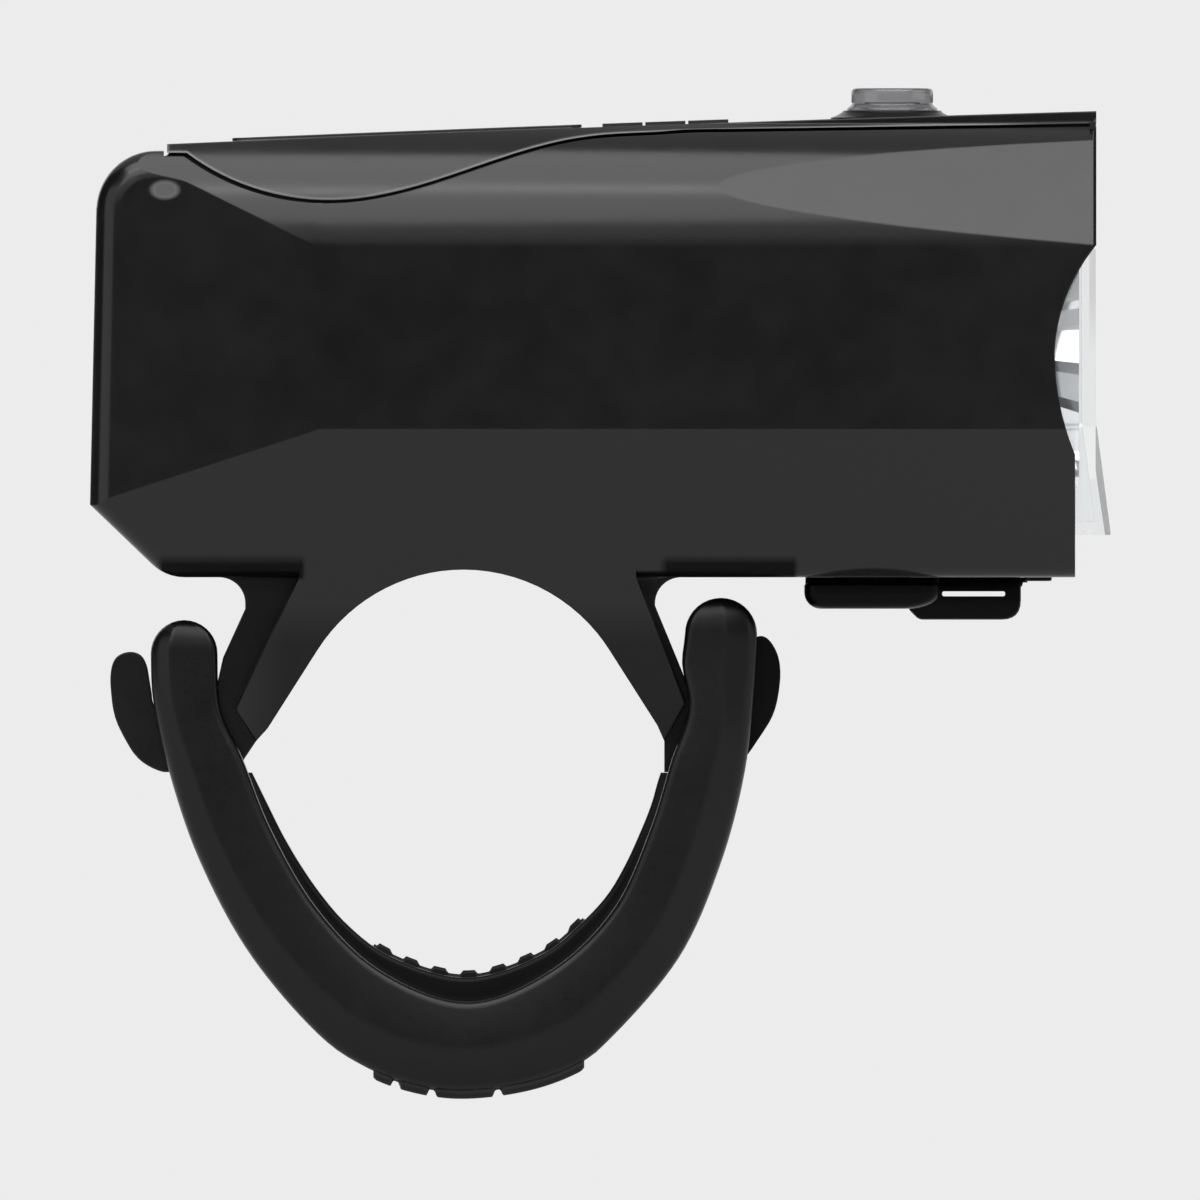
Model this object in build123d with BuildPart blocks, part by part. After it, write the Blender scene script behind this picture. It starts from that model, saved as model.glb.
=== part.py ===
from build123d import *
from math import cos, radians, sin, sqrt
import os

os.makedirs("parts", exist_ok=True)

# A bicycle headlight held on a handlebar by a stretchy strap. Millimetres throughout.
# The origin is on the handlebar's axis, +X points where the beam goes, +Z is up.

# Handlebar and the saddle that rests on it
bar_radius = 15.9
saddle_half_angle = 57.5
crown_rise = 0.7
rear_arm_run = 8.6
front_arm_run = 8.3
saddle_rear_x = -15.1
saddle_front_x = 15.9
saddle_rear_tip = (-21.0, 3.0)
saddle_front_tip = (20.4, 3.6)
rear_arm_toe = (-19.1, 0.1)
front_arm_toe = (18.5, 0.1)

# Body shell, heights counted from its flat underside
facet_height = 13.6
side_height = 16.6
rear_crest_height = 39.9
mid_crest_height = 41.9
front_crest_height = 42.95
mid_crest_x = 24.6
floor_half_width = 13.7
side_half_width = 19.6
rear_half_width = 16.6
cover_half_width = 11.5
shoulder_radius = 12.3
body_rear = -34.4
body_front = 58.3
taper_start = -13.2
wall = 2.0
rim_wall = 1.3
floor_edge_radius = 2.2

# Rear end of the body
rear_lean = 0.7
rear_corner_radius = 5.5
rear_heel_run = 6.97
rear_heel_radius = 4.3
rear_edge_radius = 2.5
deck_drop = 0.6
deck_run = 6.8

# Front edge: a cheek scooped out of each side so that light also leaves sideways
chin_setback = 1.95
cheek_depth = 3.85
cheek_low_height = 11.3
cheek_mid_height = 20.9
cheek_top_height = 30.6
cheek_upper_bulge = 0.42
cheek_upper_bulge_rise = 2.8
cheek_lower_bulge = 0.5
cheek_lower_bulge_drop = 5.0

# Flat planed on each front shoulder
flat_tip_x = 23.6
flat_tip_angle = 29.0
flat_low_rise = 0.4
flat_top_rise = 10.35
flat_top_half_width = 14.2

# Seam of the top cover, drops counted from the crest above
seam_gap = 0.3
seam_rear_drop = 1.1
ear_rear_x = -25.8
ear_low_x = -10.9
ear_front_x = 5.2
ear_tip_x = 12.6
ear_low_drop = 6.09
ear_front_drop = 2.31
ear_tip_drop = 1.03
ear_blend_x = 18.0
ear_blend_drop = 0.92
seam_mid_drop = 0.9
seam_front_drop = 1.35
ear_rear_slope = 0.75
cover_depth = 2.0

# Service opening under the cover
opening_half_width = 9.5
opening_rear = -24.0
opening_front = 50.0
opening_corner = 2.0
cover_play = 0.15

# Raised panel and level windows on the cover
panel_rear = -21.3
panel_front = 10.9
panel_half_width = 8.0
panel_proud = 0.3
panel_corner = 1.5
window_rear = 12.8
window_length = 3.7
window_width = 8.0
window_pitch = 3.95
window_count = 3
window_proud = 0.3
window_flange = 0.6
window_flange_thick = 0.6
window_play = 0.05
window_seat_gap = 0.1

# Power button
button_x = 39.5
button_cap_radius = 3.75
button_cap_height = 1.38
button_cap_round = 0.45
button_stem_radius = 2.5
button_travel = 0.4
button_gap = 0.45
button_play = 0.1
boot_base_radius = 5.7
boot_top_radius = 4.1
boot_height = 0.85
boot_seat_depth = 0.6
boot_rim_height = 0.45
retainer_thick = 0.6
retainer_radius = 3.3
button_side_pip = 0.5

# Switch and the small board under the cover
top_board_thick = 1.0
top_board_rear = 9.0
top_board_front = 46.0
top_board_half_width = 8.6
top_board_drop = 6.9
top_board_corner = 1.0
switch_size = 4.5
switch_height = 2.0
plunger_radius = 1.2
boss_radius = 2.0
boss_inset = 2.4
screw_radius = 0.8
screw_head_radius = 1.5
screw_head_height = 0.9
screw_depth = 3.2
screw_play = 0.05
driver_slot_width = 0.45
driver_slot_depth = 0.4
indicator_length = 1.6
indicator_width = 0.8
indicator_height = 0.6

# Battery cell and the tray that carries it
cell_radius = 9.2
cell_length = 65.0
cell_rear = -30.8
cell_height = 21.0
cell_edge = 0.8
cell_cap_radius = 2.8
cell_cap_height = 0.6
cell_play = 0.2
tray_wall = 1.2
tray_rear = -24.5
tray_front = 30.5
tray_rib_count = 4
tray_rib_thick = 1.4
lead_radius = 0.5
lead_reach = 3.0
lead_turn = 2.4
lead_tuck = 1.6
lamp_lead_reach = 9.0
lamp_lead_climb = 2.2
cable_thick = 0.4
cable_width = 7.0
cable_x = 18.0
cable_y = 13.5
cable_turn = 3.6
cable_end = 5.0
tab_thick = 0.25
tab_width = 7.0
tab_turn = 4.0

# Charging and driver board on the floor
socket_x = 37.7
socket_width = 8.94
socket_thick = 3.26
socket_length = 7.3
socket_shell = 0.3
socket_tongue_width = 6.7
socket_tongue_thick = 0.7
socket_tongue_setback = 0.8
socket_play = 0.1
pocket_length = 7.6
pocket_width = 13.4
pocket_depth = 1.2
board_thick = 1.0
board_rear = -24.0
board_front = 43.2
board_side_gap = 0.61
board_corner = 1.5
board_hole_rear = -21.0
board_hole_front = 27.0
board_hole_inset = 2.7
post_radius = 2.4

# Coil, capacitors and chips under that board, as place, size and whether round
board_chips = (
    ((8.0, 5.0), (7.0, 7.0, 4.0), True),
    ((-4.0, -6.0), (5.0, 4.4, 1.4), False),
    ((-12.0, 4.0), (4.0, 4.0, 1.0), False),
    ((20.0, -5.0), (6.2, 5.2, 1.6), False),
    ((-1.0, 8.5), (2.0, 1.25, 1.0), False),
    ((18.0, 4.0), (3.2, 2.5, 2.2), False),
    ((28.0, 3.0), (3.2, 1.6, 1.2), False),
)

# Beam: lamp, heat sink, reflector, lens
beam_share = 0.5112
sink_rear = 36.6
sink_thick = 2.2
sink_low_height = 11.6
sink_top_height = 33.6
sink_fin_count = 5
sink_fin_thick = 1.0
sink_fin_depth = 1.3
sink_fin_pitch = 3.0
sink_clear = 0.25
sink_stop_depth = 1.2
sink_stop_thick = 1.4
lamp_board_width = 22.0
lamp_board_height = 15.6
lamp_screw_reach = 9.3
lamp_board_thick = 1.2
lamp_size = 3.4
lamp_height = 0.7
lamp_dome_radius = 1.2
reflector_mouth_x = 53.4
reflector_mouth_share = 0.3641
reflector_apex_x = 38.2
reflector_neck_x = 41.3
reflector_wall = 0.9
reflector_flange = 0.9
reflector_rings = 6
reflector_sides = 24
reflector_play = 0.2
bullet_tip_x = 55.9
bullet_radius = 5.9
bullet_foot_radius = 3.6
bullet_recess = 2.6
bullet_recess_depth = 2.0
lens_rear = 52.6
lens_seat = 52.0
lens_wall = 1.4
lens_face_thick = 1.3
lens_play = 0.08
lens_top_height = 40.1
lens_chin_height = 3.9
lens_break_height = 14.7
lens_lip_reach = 1.36
lens_lip_height = 4.2
lens_setback = 0.06
gasket_width = 1.0
gasket_inset = 0.5

# Hooks under the saddle, one behind and one ahead of the handlebar
hook_half_width = 5.5
bowl_radius = 2.9
rear_bowl_reach = 25.8
rear_bowl_z = 4.45
front_bowl_reach = 23.75
front_bowl_z = 4.8
root_radius = 2.4
root_run = 4.0
rear_arm_x = -20.1
rear_arm_z = 12.3
rear_elbow = (-22.15, 7.8)
front_arm_x = 17.65
front_arm_z = 12.6
front_elbow = (19.55, 8.0)
hook_floor = 4.3
rear_heel_x = -21.0
front_heel_x = 18.5

# Outside of each hook's tip, from its inner top round to its foot, as outward run and rise from its bowl
rear_tip_line = (
    (3.26, 2.2),
    (3.75, 3.4),
    (4.96, 3.88),
    (6.15, 3.4),
    (6.66, 2.2),
    (6.66, 0.1),
    (6.3, -2.12),
    (5.28, -4.33),
    (3.6, -6.4),
)
front_tip_line = (
    (2.5, 3.3),
    (2.85, 4.6),
    (3.76, 4.99),
    (4.77, 4.16),
    (5.38, 2.5),
    (5.3, -0.2),
    (4.68, -2.47),
    (3.3, -4.68),
    (1.6, -6.7),
)
rear_foot_run = 1.7
front_foot_run = -0.4

# Strap
strap_half_width = 10.6
rail_inner_half = 6.2
strap_outer_shares = (
    (-1.121, -0.095),
    (-1.113, 0.019),
    (-1.049, 0.205),
    (-0.941, 0.412),
    (-0.748, 0.648),
    (-0.473, 0.856),
    (-0.343, 0.914),
    (-0.19, 0.957),
    (0.02, 0.98),
    (0.3, 0.957),
    (0.49, 0.906),
    (0.579, 0.857),
    (0.847, 0.648),
    (1.003, 0.412),
    (1.085, 0.205),
    (1.118, 0.03),
    (1.133, -0.143),
)
rail_inner_shares = (
    (0.865, -0.143),
    (0.854, -0.07),
    (0.88, 0.035),
    (0.816, 0.165),
    (0.736, 0.336),
    (0.598, 0.533),
    (0.362, 0.684),
    (0.058, 0.76),
    (-0.265, 0.684),
    (-0.499, 0.534),
    (-0.674, 0.337),
    (-0.786, 0.152),
    (-0.86, 0.043),
    (-0.873, -0.095),
)
web_inner_shares = (
    (0.769, 0.211),
    (0.739, 0.277),
    (0.694, 0.351),
    (0.642, 0.425),
    (0.575, 0.499),
    (0.47, 0.573),
    (0.344, 0.64),
    (0.054, 0.701),
    (-0.241, 0.645),
    (-0.388, 0.572),
    (-0.485, 0.499),
    (-0.563, 0.425),
    (-0.629, 0.351),
    (-0.685, 0.277),
    (-0.734, 0.211),
)
strap_drop = 37.5
crossbar_radius = 2.6
split_share = 0.5
web_spread_share = 0.98
pad_spread_share = 1.02
grip_spread_share = 0.988
pad_rear = -8.4
pad_front = 11.2
pad_groove = 0.7
pad_groove_depth = 0.6
pad_groove_shares = (0.11, 0.28, 0.59)
grip_rib_count = 8
grip_start_share = 0.305
grip_end_share = 0.655
grip_rib_width = 1.0
grip_rib_proud = 0.4
strap_edge_radius = 1.0
end_pull_share = 0.5

# Port cover
flap_rear = 31.4
flap_front = 51.1
flap_pad_front = 43.9
flap_pad_half_width = 9.6
flap_pad_top_gap = 0.5
flap_pad_thick = 2.4
flap_loop_rear = 41.0
flap_loop_half_width = 3.4
flap_loop_top_gap = 0.3
flap_loop_thick = 3.6
flap_slot_rear = 44.1
flap_slot_front = 49.9
flap_slot_height = 0.45
flap_slot_drop = 1.22
flap_loop_chamfer = 1.4
flap_round = 1.8
flap_corner = 0.9
flap_plug_play = 0.35
flap_plug_height = 1.4
anchor_front = 54.2
anchor_thick = 0.5
anchor_half_width = 4.2
anchor_recess = 0.15
anchor_rear = 51.6
anchor_stem_radius = 1.3
anchor_stem_height = 0.75
anchor_play = 0.1
scoop_length = 12.4
scoop_rise = 0.95
scoop_inner_half = 9.8

# One overrun for every cut that has to pass right through
overrun = 6.0

# Places worked out from the sizes above
underside = bar_radius - crown_rise
facet_top = underside + facet_height
side_top = facet_top + side_height
crest_top = underside + front_crest_height
deck_z = underside + rear_crest_height - deck_drop
cover_rear = body_rear + deck_run
heel_height = facet_height * (rear_half_width - floor_half_width) / (side_half_width - floor_half_width)
facet_slope = (side_half_width - floor_half_width) / facet_height
lean_slope = rear_lean / (deck_z - underside - heel_height)
shoulder_y = side_half_width - shoulder_radius
beam_z = underside + beam_share * lens_top_height
reflector_mouth_radius = reflector_mouth_share * lens_top_height
span = body_front - body_rear
body_height = crest_top - underside


def crest_z(x):
    # Height of the cover's crest at x, on the circle through its three named points
    x1, z1 = cover_rear, underside + rear_crest_height
    x2, z2 = mid_crest_x, underside + mid_crest_height
    x3, z3 = body_front, underside + front_crest_height
    share_2 = (x - x1) * (x - x3) / ((x2 - x1) * (x2 - x3))
    share_1 = (x - x2) * (x - x3) / ((x1 - x2) * (x1 - x3))
    share_3 = (x - x1) * (x - x2) / ((x3 - x1) * (x3 - x2))
    return share_1 * z1 + share_2 * z2 + share_3 * z3


def body_form(inset, open_front):
    # The body's outer shape drawn in by inset: side view, cross-section and plan intersected
    with BuildPart() as form:
        with BuildSketch(Plane.XZ) as side:
            with BuildLine():
                rear = Polyline(
                    (body_rear - heel_height * lean_slope, underside),
                    (body_rear + rear_lean, deck_z),
                    (cover_rear, deck_z),
                    (cover_rear, underside + rear_crest_height),
                )
                crest = ThreePointArc(
                    rear @ 1,
                    (mid_crest_x, underside + mid_crest_height),
                    (body_front, crest_top),
                )
                if open_front:
                    beyond = body_front + overrun
                    Polyline(crest @ 1, (beyond, crest_top), (beyond, underside), rear @ 0)
                else:
                    chin = body_front - chin_setback
                    pit = body_front - cheek_depth
                    cheek_low = underside + cheek_low_height
                    cheek_mid = underside + cheek_mid_height
                    cheek_top = underside + cheek_top_height
                    Line(crest @ 1, (body_front, cheek_top))
                    ThreePointArc(
                        (body_front, cheek_top),
                        (pit + cheek_upper_bulge, cheek_mid + cheek_upper_bulge_rise),
                        (pit, cheek_mid),
                    )
                    ThreePointArc(
                        (pit, cheek_mid),
                        (pit + cheek_lower_bulge, cheek_mid - cheek_lower_bulge_drop),
                        (chin, cheek_low),
                    )
                    Polyline((chin, cheek_low), (chin, underside), rear @ 0)
            make_face()
            corner = side.vertices().sort_by_distance((body_rear + rear_lean, deck_z))[0]
            fillet(corner, radius=rear_corner_radius)
            if inset:
                offset(amount=-inset)
        extrude(amount=side_half_width + overrun, both=True)
        with BuildSketch(Plane.XY):
            taper = (side_half_width - rear_half_width) / (taper_start - body_rear)
            beyond = body_front + overrun + overrun
            with BuildLine():
                Polyline(
                    (beyond, 0),
                    (beyond, side_half_width),
                    (taper_start, side_half_width),
                    (body_rear - overrun, rear_half_width - taper * overrun),
                    (body_rear - overrun, 0),
                    close=True,
                )
            make_face()
            mirror(about=Plane.XZ)
            if inset:
                offset(amount=-inset)
        extrude(amount=span, both=True, mode=Mode.INTERSECT)
        if rear_edge_radius > inset:
            rear_edges = (
                form.edges()
                .filter_by_position(Axis.X, body_rear - wall, body_rear + rear_lean + inset)
                .filter_by(lambda edge: edge.bounding_box().size.Z > side_height)
            )
            fillet(rear_edges, radius=rear_edge_radius - inset)
        with BuildSketch(Plane.XZ) as heel_side:
            with BuildLine():
                Polyline(
                    (body_front + 2 * overrun, underside),
                    (body_rear + rear_heel_run, underside),
                    (body_rear, underside + heel_height),
                    (body_rear - overrun, underside + heel_height * (1 + overrun / rear_heel_run)),
                    (body_rear - overrun, crest_top + overrun),
                    (body_front + 2 * overrun, crest_top + overrun),
                    close=True,
                )
            make_face()
            heel = heel_side.vertices().sort_by_distance((body_rear + rear_heel_run, underside))[0]
            fillet(heel, radius=rear_heel_radius)
            if inset:
                offset(amount=-inset)
        extrude(amount=side_half_width + overrun, both=True, mode=Mode.INTERSECT)
        with BuildSketch(Plane.YZ):
            with BuildLine():
                arc_end = side_top + sqrt(shoulder_radius**2 - (cover_half_width - shoulder_y) ** 2)
                arc_mid = radians(flat_tip_angle)
                flank = Polyline(
                    (0, underside),
                    (floor_half_width, underside),
                    (side_half_width, facet_top),
                    (side_half_width, side_top),
                )
                shoulder = ThreePointArc(
                    flank @ 1,
                    (
                        shoulder_y + shoulder_radius * cos(arc_mid),
                        side_top + shoulder_radius * sin(arc_mid),
                    ),
                    (cover_half_width, arc_end),
                )
                Polyline(
                    shoulder @ 1,
                    (cover_half_width, crest_top + overrun),
                    (0, crest_top + overrun),
                    (0, underside),
                )
            make_face()
            mirror(about=Plane.YZ)
            if inset:
                offset(amount=-inset)
        extrude(amount=span, both=True, mode=Mode.INTERSECT)
        tip = radians(flat_tip_angle)
        for side_sign in (1, -1):
            low = Vector(body_front, side_sign * side_half_width, side_top + flat_low_rise)
            top = Vector(body_front, side_sign * flat_top_half_width, side_top + flat_top_rise)
            start = Vector(
                flat_tip_x,
                side_sign * (shoulder_y + shoulder_radius * cos(tip)),
                side_top + shoulder_radius * sin(tip),
            )
            out = (top - low).cross(start - low).normalized()
            if out.Y * side_sign < 0:
                out = out * -1
            split(bisect_by=Plane(origin=low - out * inset, z_dir=out), keep=Keep.BOTTOM)
    return form.part


def above_seam(shift):
    # Everything over the cover's seam, the seam itself moved up and forward by shift
    with BuildPart() as region:
        with BuildSketch(Plane.XZ):
            with BuildLine():
                rear_z = crest_z(cover_rear) - seam_rear_drop + shift
                low = Line((cover_rear + shift, rear_z), (ear_rear_x + shift, rear_z))
                dip = Spline(
                    low @ 1,
                    (ear_low_x, crest_z(ear_low_x) - ear_low_drop + shift),
                    (ear_front_x, crest_z(ear_front_x) - ear_front_drop + shift),
                    (ear_tip_x, crest_z(ear_tip_x) - ear_tip_drop + shift),
                    (ear_blend_x, crest_z(ear_blend_x) - ear_blend_drop + shift),
                    (mid_crest_x, crest_z(mid_crest_x) - seam_mid_drop + shift),
                    tangents=[(1, -ear_rear_slope), (1, 0)],
                )
                Polyline(
                    dip @ 1,
                    (body_front + overrun, crest_top - seam_front_drop + shift),
                    (body_front + overrun, crest_top + overrun),
                    (cover_rear + shift, crest_top + overrun),
                    (cover_rear + shift, rear_z),
                )
            make_face()
        extrude(amount=side_half_width + overrun, both=True)
    return region.part


def service_opening(play):
    # The opening that the cover's middle drops into, drawn in by play
    with BuildPart() as prism:
        with BuildSketch(Plane.XY.offset(side_top)):
            with Locations(((opening_rear + opening_front) / 2, 0)):
                RectangleRounded(
                    opening_front - opening_rear - 2 * play,
                    2 * (opening_half_width - play),
                    opening_corner,
                )
        extrude(amount=crest_top - side_top + overrun)
    return prism.part


outer_form = body_form(0, False)
inner_form = body_form(wall, True)
rim_form = body_form(rim_wall, True)
lens_form = body_form(rim_wall + lens_play, True)
lens_bore_form = body_form(rim_wall + lens_play + lens_wall, True)
flange_form = body_form(rim_wall + lens_play + lens_wall + reflector_play, True)
sink_form = body_form(wall + sink_clear, True)
stop_form = body_form(wall + sink_stop_depth, True)
gasket_outer_form = body_form(gasket_inset, False)
gasket_inner_form = body_form(gasket_inset + gasket_width, False)
cover_region = above_seam(seam_gap)
seam_region = above_seam(0)
opening_prism = service_opening(0)
cover_plug_prism = service_opening(cover_play)

# Saddle: side view of both arms, cut to the slope of the body's lower facets
arc_x = bar_radius * sin(radians(saddle_half_angle))
arc_z = bar_radius * cos(radians(saddle_half_angle))
arm_slope = radians(saddle_half_angle)
rear_arm_end = (-arc_x - rear_arm_run * cos(arm_slope), arc_z - rear_arm_run * sin(arm_slope))
front_arm_end = (arc_x + front_arm_run * cos(arm_slope), arc_z - front_arm_run * sin(arm_slope))
hook_low_z = rear_bowl_z - bowl_radius - hook_floor
end_pulls = [end_pull_share, end_pull_share]

with BuildPart() as saddle_form:
    with BuildSketch(Plane.XZ):
        with BuildLine():
            arc = ThreePointArc((-arc_x, arc_z), (0, bar_radius), (arc_x, arc_z))
            Polyline(
                arc @ 1,
                front_arm_end,
                front_arm_toe,
                saddle_front_tip,
                (saddle_front_x, underside),
                (saddle_front_x, underside + wall),
                (saddle_rear_x, underside + wall),
                (saddle_rear_x, underside),
                saddle_rear_tip,
                rear_arm_toe,
                rear_arm_end,
                arc @ 0,
            )
        make_face()
    extrude(amount=side_half_width, both=True)
    low_z = rear_arm_toe[1] - crown_rise
    low_half = floor_half_width - facet_slope * (underside - low_z)
    high_half = floor_half_width + facet_slope * overrun
    with BuildSketch(Plane.YZ):
        with BuildLine():
            Polyline(
                (0, low_z),
                (low_half, low_z),
                (high_half, underside + overrun),
                (0, underside + overrun),
                close=True,
            )
        make_face()
        mirror(about=Plane.YZ)
    extrude(amount=span, both=True, mode=Mode.INTERSECT)


scoop_radius = ((scoop_length / 2) ** 2 + scoop_rise**2) / (2 * scoop_rise)
scoop_x = (flap_rear + flap_pad_front) / 2
anchor_mid = (anchor_rear + anchor_front) / 2
socket_mouth = underside + pocket_depth
board_z = socket_mouth + socket_length
board_top = board_z + board_thick
facet_wall = wall * sqrt(1 + facet_slope**2)
board_half_width = floor_half_width + facet_slope * (board_z - underside) - facet_wall - board_side_gap
board_hole_half_span = board_half_width - board_hole_inset

# Hollow of the housing: it stops under the lintel over the lens and keeps two stops for the heat sink
with BuildPart() as cavity:
    add(inner_form)
    with BuildSketch(Plane.XY.offset(underside + lens_top_height)):
        with Locations(((opening_front + body_front + overrun) / 2, 0)):
            Rectangle(body_front + overrun - opening_front, 2 * side_half_width)
    extrude(amount=body_height, mode=Mode.SUBTRACT)
    with BuildSketch(Plane.YZ.offset(sink_rear - cover_play - sink_stop_thick)):
        with Locations((0, side_top - side_height / 2)):
            Rectangle(2 * side_half_width, side_height)
    stop_slab = extrude(amount=sink_stop_thick, mode=Mode.PRIVATE)
    add((stop_slab & inner_form) - stop_form, mode=Mode.SUBTRACT)

with BuildPart() as lower_housing:
    add(outer_form)
    floor_edges = (
        lower_housing.edges()
        .filter_by(Axis.X)
        .filter_by_position(Axis.Z, underside - crown_rise, underside + crown_rise)
    )
    fillet(floor_edges, radius=floor_edge_radius)
    add(saddle_form.part)
    with BuildSketch(Plane.XZ):
        Circle(bar_radius)
    extrude(amount=side_half_width, both=True, mode=Mode.SUBTRACT)
    for sign, bowl_x, bowl_z, arm_x, arm_z, elbow, arm_end, arm_toe, heel_x, foot_run, tip_line in (
        (
            -1,
            -rear_bowl_reach,
            rear_bowl_z,
            rear_arm_x,
            rear_arm_z,
            rear_elbow,
            rear_arm_end,
            rear_arm_toe,
            rear_heel_x,
            rear_foot_run,
            rear_tip_line,
        ),
        (
            1,
            front_bowl_reach,
            front_bowl_z,
            front_arm_x,
            front_arm_z,
            front_elbow,
            front_arm_end,
            front_arm_toe,
            front_heel_x,
            front_foot_run,
            front_tip_line,
        ),
    ):
        foot = (bowl_x + sign * foot_run, hook_low_z)
        tip_points = [(bowl_x + sign * run, bowl_z + rise) for run, rise in tip_line]
        inner_lean = (tip_points[0][0] - bowl_x - sign * bowl_radius, tip_points[0][1] - bowl_z)
        with BuildSketch(Plane.XZ) as hook_side:
            with BuildLine():
                bowl = ThreePointArc(
                    (bowl_x - sign * bowl_radius, bowl_z),
                    (bowl_x, bowl_z - bowl_radius),
                    (bowl_x + sign * bowl_radius, bowl_z),
                )
                Line(bowl @ 1, tip_points[0])
                Spline(
                    *tip_points,
                    foot,
                    tangents=[inner_lean, (-sign, 0)],
                    tangent_scalars=end_pulls,
                )
                Polyline(
                    foot,
                    (heel_x, hook_low_z),
                    arm_toe,
                    arm_end,
                    (sign * arc_x, arc_z),
                    (sign * arc_x, underside + wall),
                    (arm_x + sign * root_run, underside + wall),
                    (arm_x + sign * root_run, underside),
                    (arm_x, underside),
                    (arm_x, arm_z),
                    elbow,
                    bowl @ 0,
                )
            make_face()
            root = hook_side.vertices().sort_by_distance((arm_x, underside))[0]
            fillet(root, radius=root_radius)
        extrude(amount=hook_half_width, both=True)
    add(cavity.part, mode=Mode.SUBTRACT)
    add(seam_region, mode=Mode.SUBTRACT)
    add(opening_prism, mode=Mode.SUBTRACT)
    # Rim that the lens slides into, up to its seat
    with BuildSketch(Plane.YZ.offset(lens_seat)):
        Rectangle(2 * side_half_width + overrun, 2 * (underside + lens_top_height))
    rim_cut = extrude(amount=span, mode=Mode.PRIVATE)
    add(rim_form & rim_cut, mode=Mode.SUBTRACT)
    # Pocket round the charging socket, and the slot that its shell comes through
    with BuildSketch(Plane.XY.offset(underside)):
        with Locations((socket_x, 0)):
            SlotOverall(pocket_width, pocket_length, rotation=90)
    extrude(amount=pocket_depth, mode=Mode.SUBTRACT)
    with BuildSketch(Plane.XY.offset(underside)):
        with Locations((socket_x, 0)):
            SlotOverall(socket_width + 2 * socket_play, socket_thick + 2 * socket_play, rotation=90)
    extrude(amount=wall + overrun, mode=Mode.SUBTRACT)
    # Shallow seat of the port cover's anchor, with the hole for its stem
    with BuildSketch(Plane.XY.offset(underside)):
        with Locations((anchor_mid, 0)):
            Rectangle(anchor_front - anchor_rear + 2 * anchor_play, 2 * (anchor_half_width + anchor_play))
    extrude(amount=anchor_recess, mode=Mode.SUBTRACT)
    with BuildSketch(Plane.XY.offset(underside)):
        with Locations((anchor_mid, 0)):
            Circle(anchor_stem_radius + anchor_play)
    extrude(amount=anchor_recess + anchor_stem_height + anchor_play, mode=Mode.SUBTRACT)
    # Finger scoops over the pull pad
    for side_sign in (1, -1):
        with BuildSketch(Plane.XZ.offset(-side_sign * scoop_inner_half)):
            with Locations((scoop_x, underside + scoop_rise - scoop_radius)):
                Circle(scoop_radius)
        extrude(amount=-side_sign * side_half_width, mode=Mode.SUBTRACT)
    # Posts for the floor board
    with BuildSketch(Plane.XY.offset(underside + wall / 2)):
        with Locations(*[
            (x, y)
            for x in (board_hole_rear, board_hole_front)
            for y in (board_hole_half_span, -board_hole_half_span)
        ]):
            Circle(post_radius)
            Circle(screw_radius + screw_play, mode=Mode.SUBTRACT)
    extrude(amount=board_z - underside - wall / 2)

lower_housing.part.label = "lower_housing"
export_step(lower_housing.part, "parts/lower_housing.step")

# Top cover: the shell over the seam, its thicker middle, the raised panel, windows and board bosses
cover_keep = cover_region + cover_plug_prism
button_deck = crest_z(button_x)
boot_seat = button_deck - boot_seat_depth
top_board_top = button_deck - top_board_drop
boss_rear = top_board_rear + boss_inset
boss_front = top_board_front - boss_inset
boss_half_span = top_board_half_width - boss_inset
boss_places = [(x, y) for x in (boss_rear, boss_front) for y in (boss_half_span, -boss_half_span)]
window_places = [window_rear + window_length / 2 + n * window_pitch for n in range(window_count)]
window_span = window_pitch * (window_count - 1) + window_length
window_mid = window_rear + window_span / 2

with BuildPart() as panel_slab:
    with BuildSketch(Plane.XY.offset(side_top)):
        with Locations(((panel_rear + panel_front) / 2, 0)):
            RectangleRounded(panel_front - panel_rear, 2 * panel_half_width, panel_corner)
    extrude(amount=body_height)
    add(Pos(0, 0, panel_proud) * outer_form, mode=Mode.INTERSECT)
    add(inner_form, mode=Mode.SUBTRACT)

with BuildPart() as top_cover:
    add(outer_form)
    add(inner_form, mode=Mode.SUBTRACT)
    add(cover_keep, mode=Mode.INTERSECT)
    add(panel_slab.part)
    with BuildSketch(Plane.XY.offset(top_board_top)):
        with Locations(*boss_places):
            Circle(boss_radius)
    extrude(amount=button_deck - top_board_top - cover_depth / 2)
    with BuildSketch(Plane.XY.offset(top_board_top)):
        with Locations(*boss_places):
            Circle(screw_radius + screw_play)
    extrude(amount=screw_depth, mode=Mode.SUBTRACT)
    with BuildSketch(Plane.XY.offset(boot_seat)):
        with Locations((button_x, 0)):
            Circle(boot_base_radius + window_play)
    extrude(amount=overrun, mode=Mode.SUBTRACT)
    with BuildSketch(Plane.XY.offset(top_board_top)):
        with Locations((button_x, 0)):
            Circle(button_stem_radius + button_play)
    extrude(amount=top_board_drop + overrun, mode=Mode.SUBTRACT)
    with BuildSketch(Plane.XY.offset(top_board_top)):
        with Locations((window_mid, 0)):
            Rectangle(window_span + 2 * window_play, window_width + 2 * window_play)
    extrude(amount=top_board_drop + overrun, mode=Mode.SUBTRACT)

top_cover.part.label = "top_cover"
export_step(top_cover.part, "parts/top_cover.step")

# Seal between the housing and the cover, lying in the seam
with BuildPart() as cover_gasket:
    add(seam_region)
    add(cover_region, mode=Mode.SUBTRACT)
    add(gasket_outer_form, mode=Mode.INTERSECT)
    add(gasket_inner_form, mode=Mode.SUBTRACT)
    add(opening_prism, mode=Mode.SUBTRACT)

cover_gasket.part.label = "cover_gasket"
export_step(cover_gasket.part, "parts/cover_gasket.step")

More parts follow.
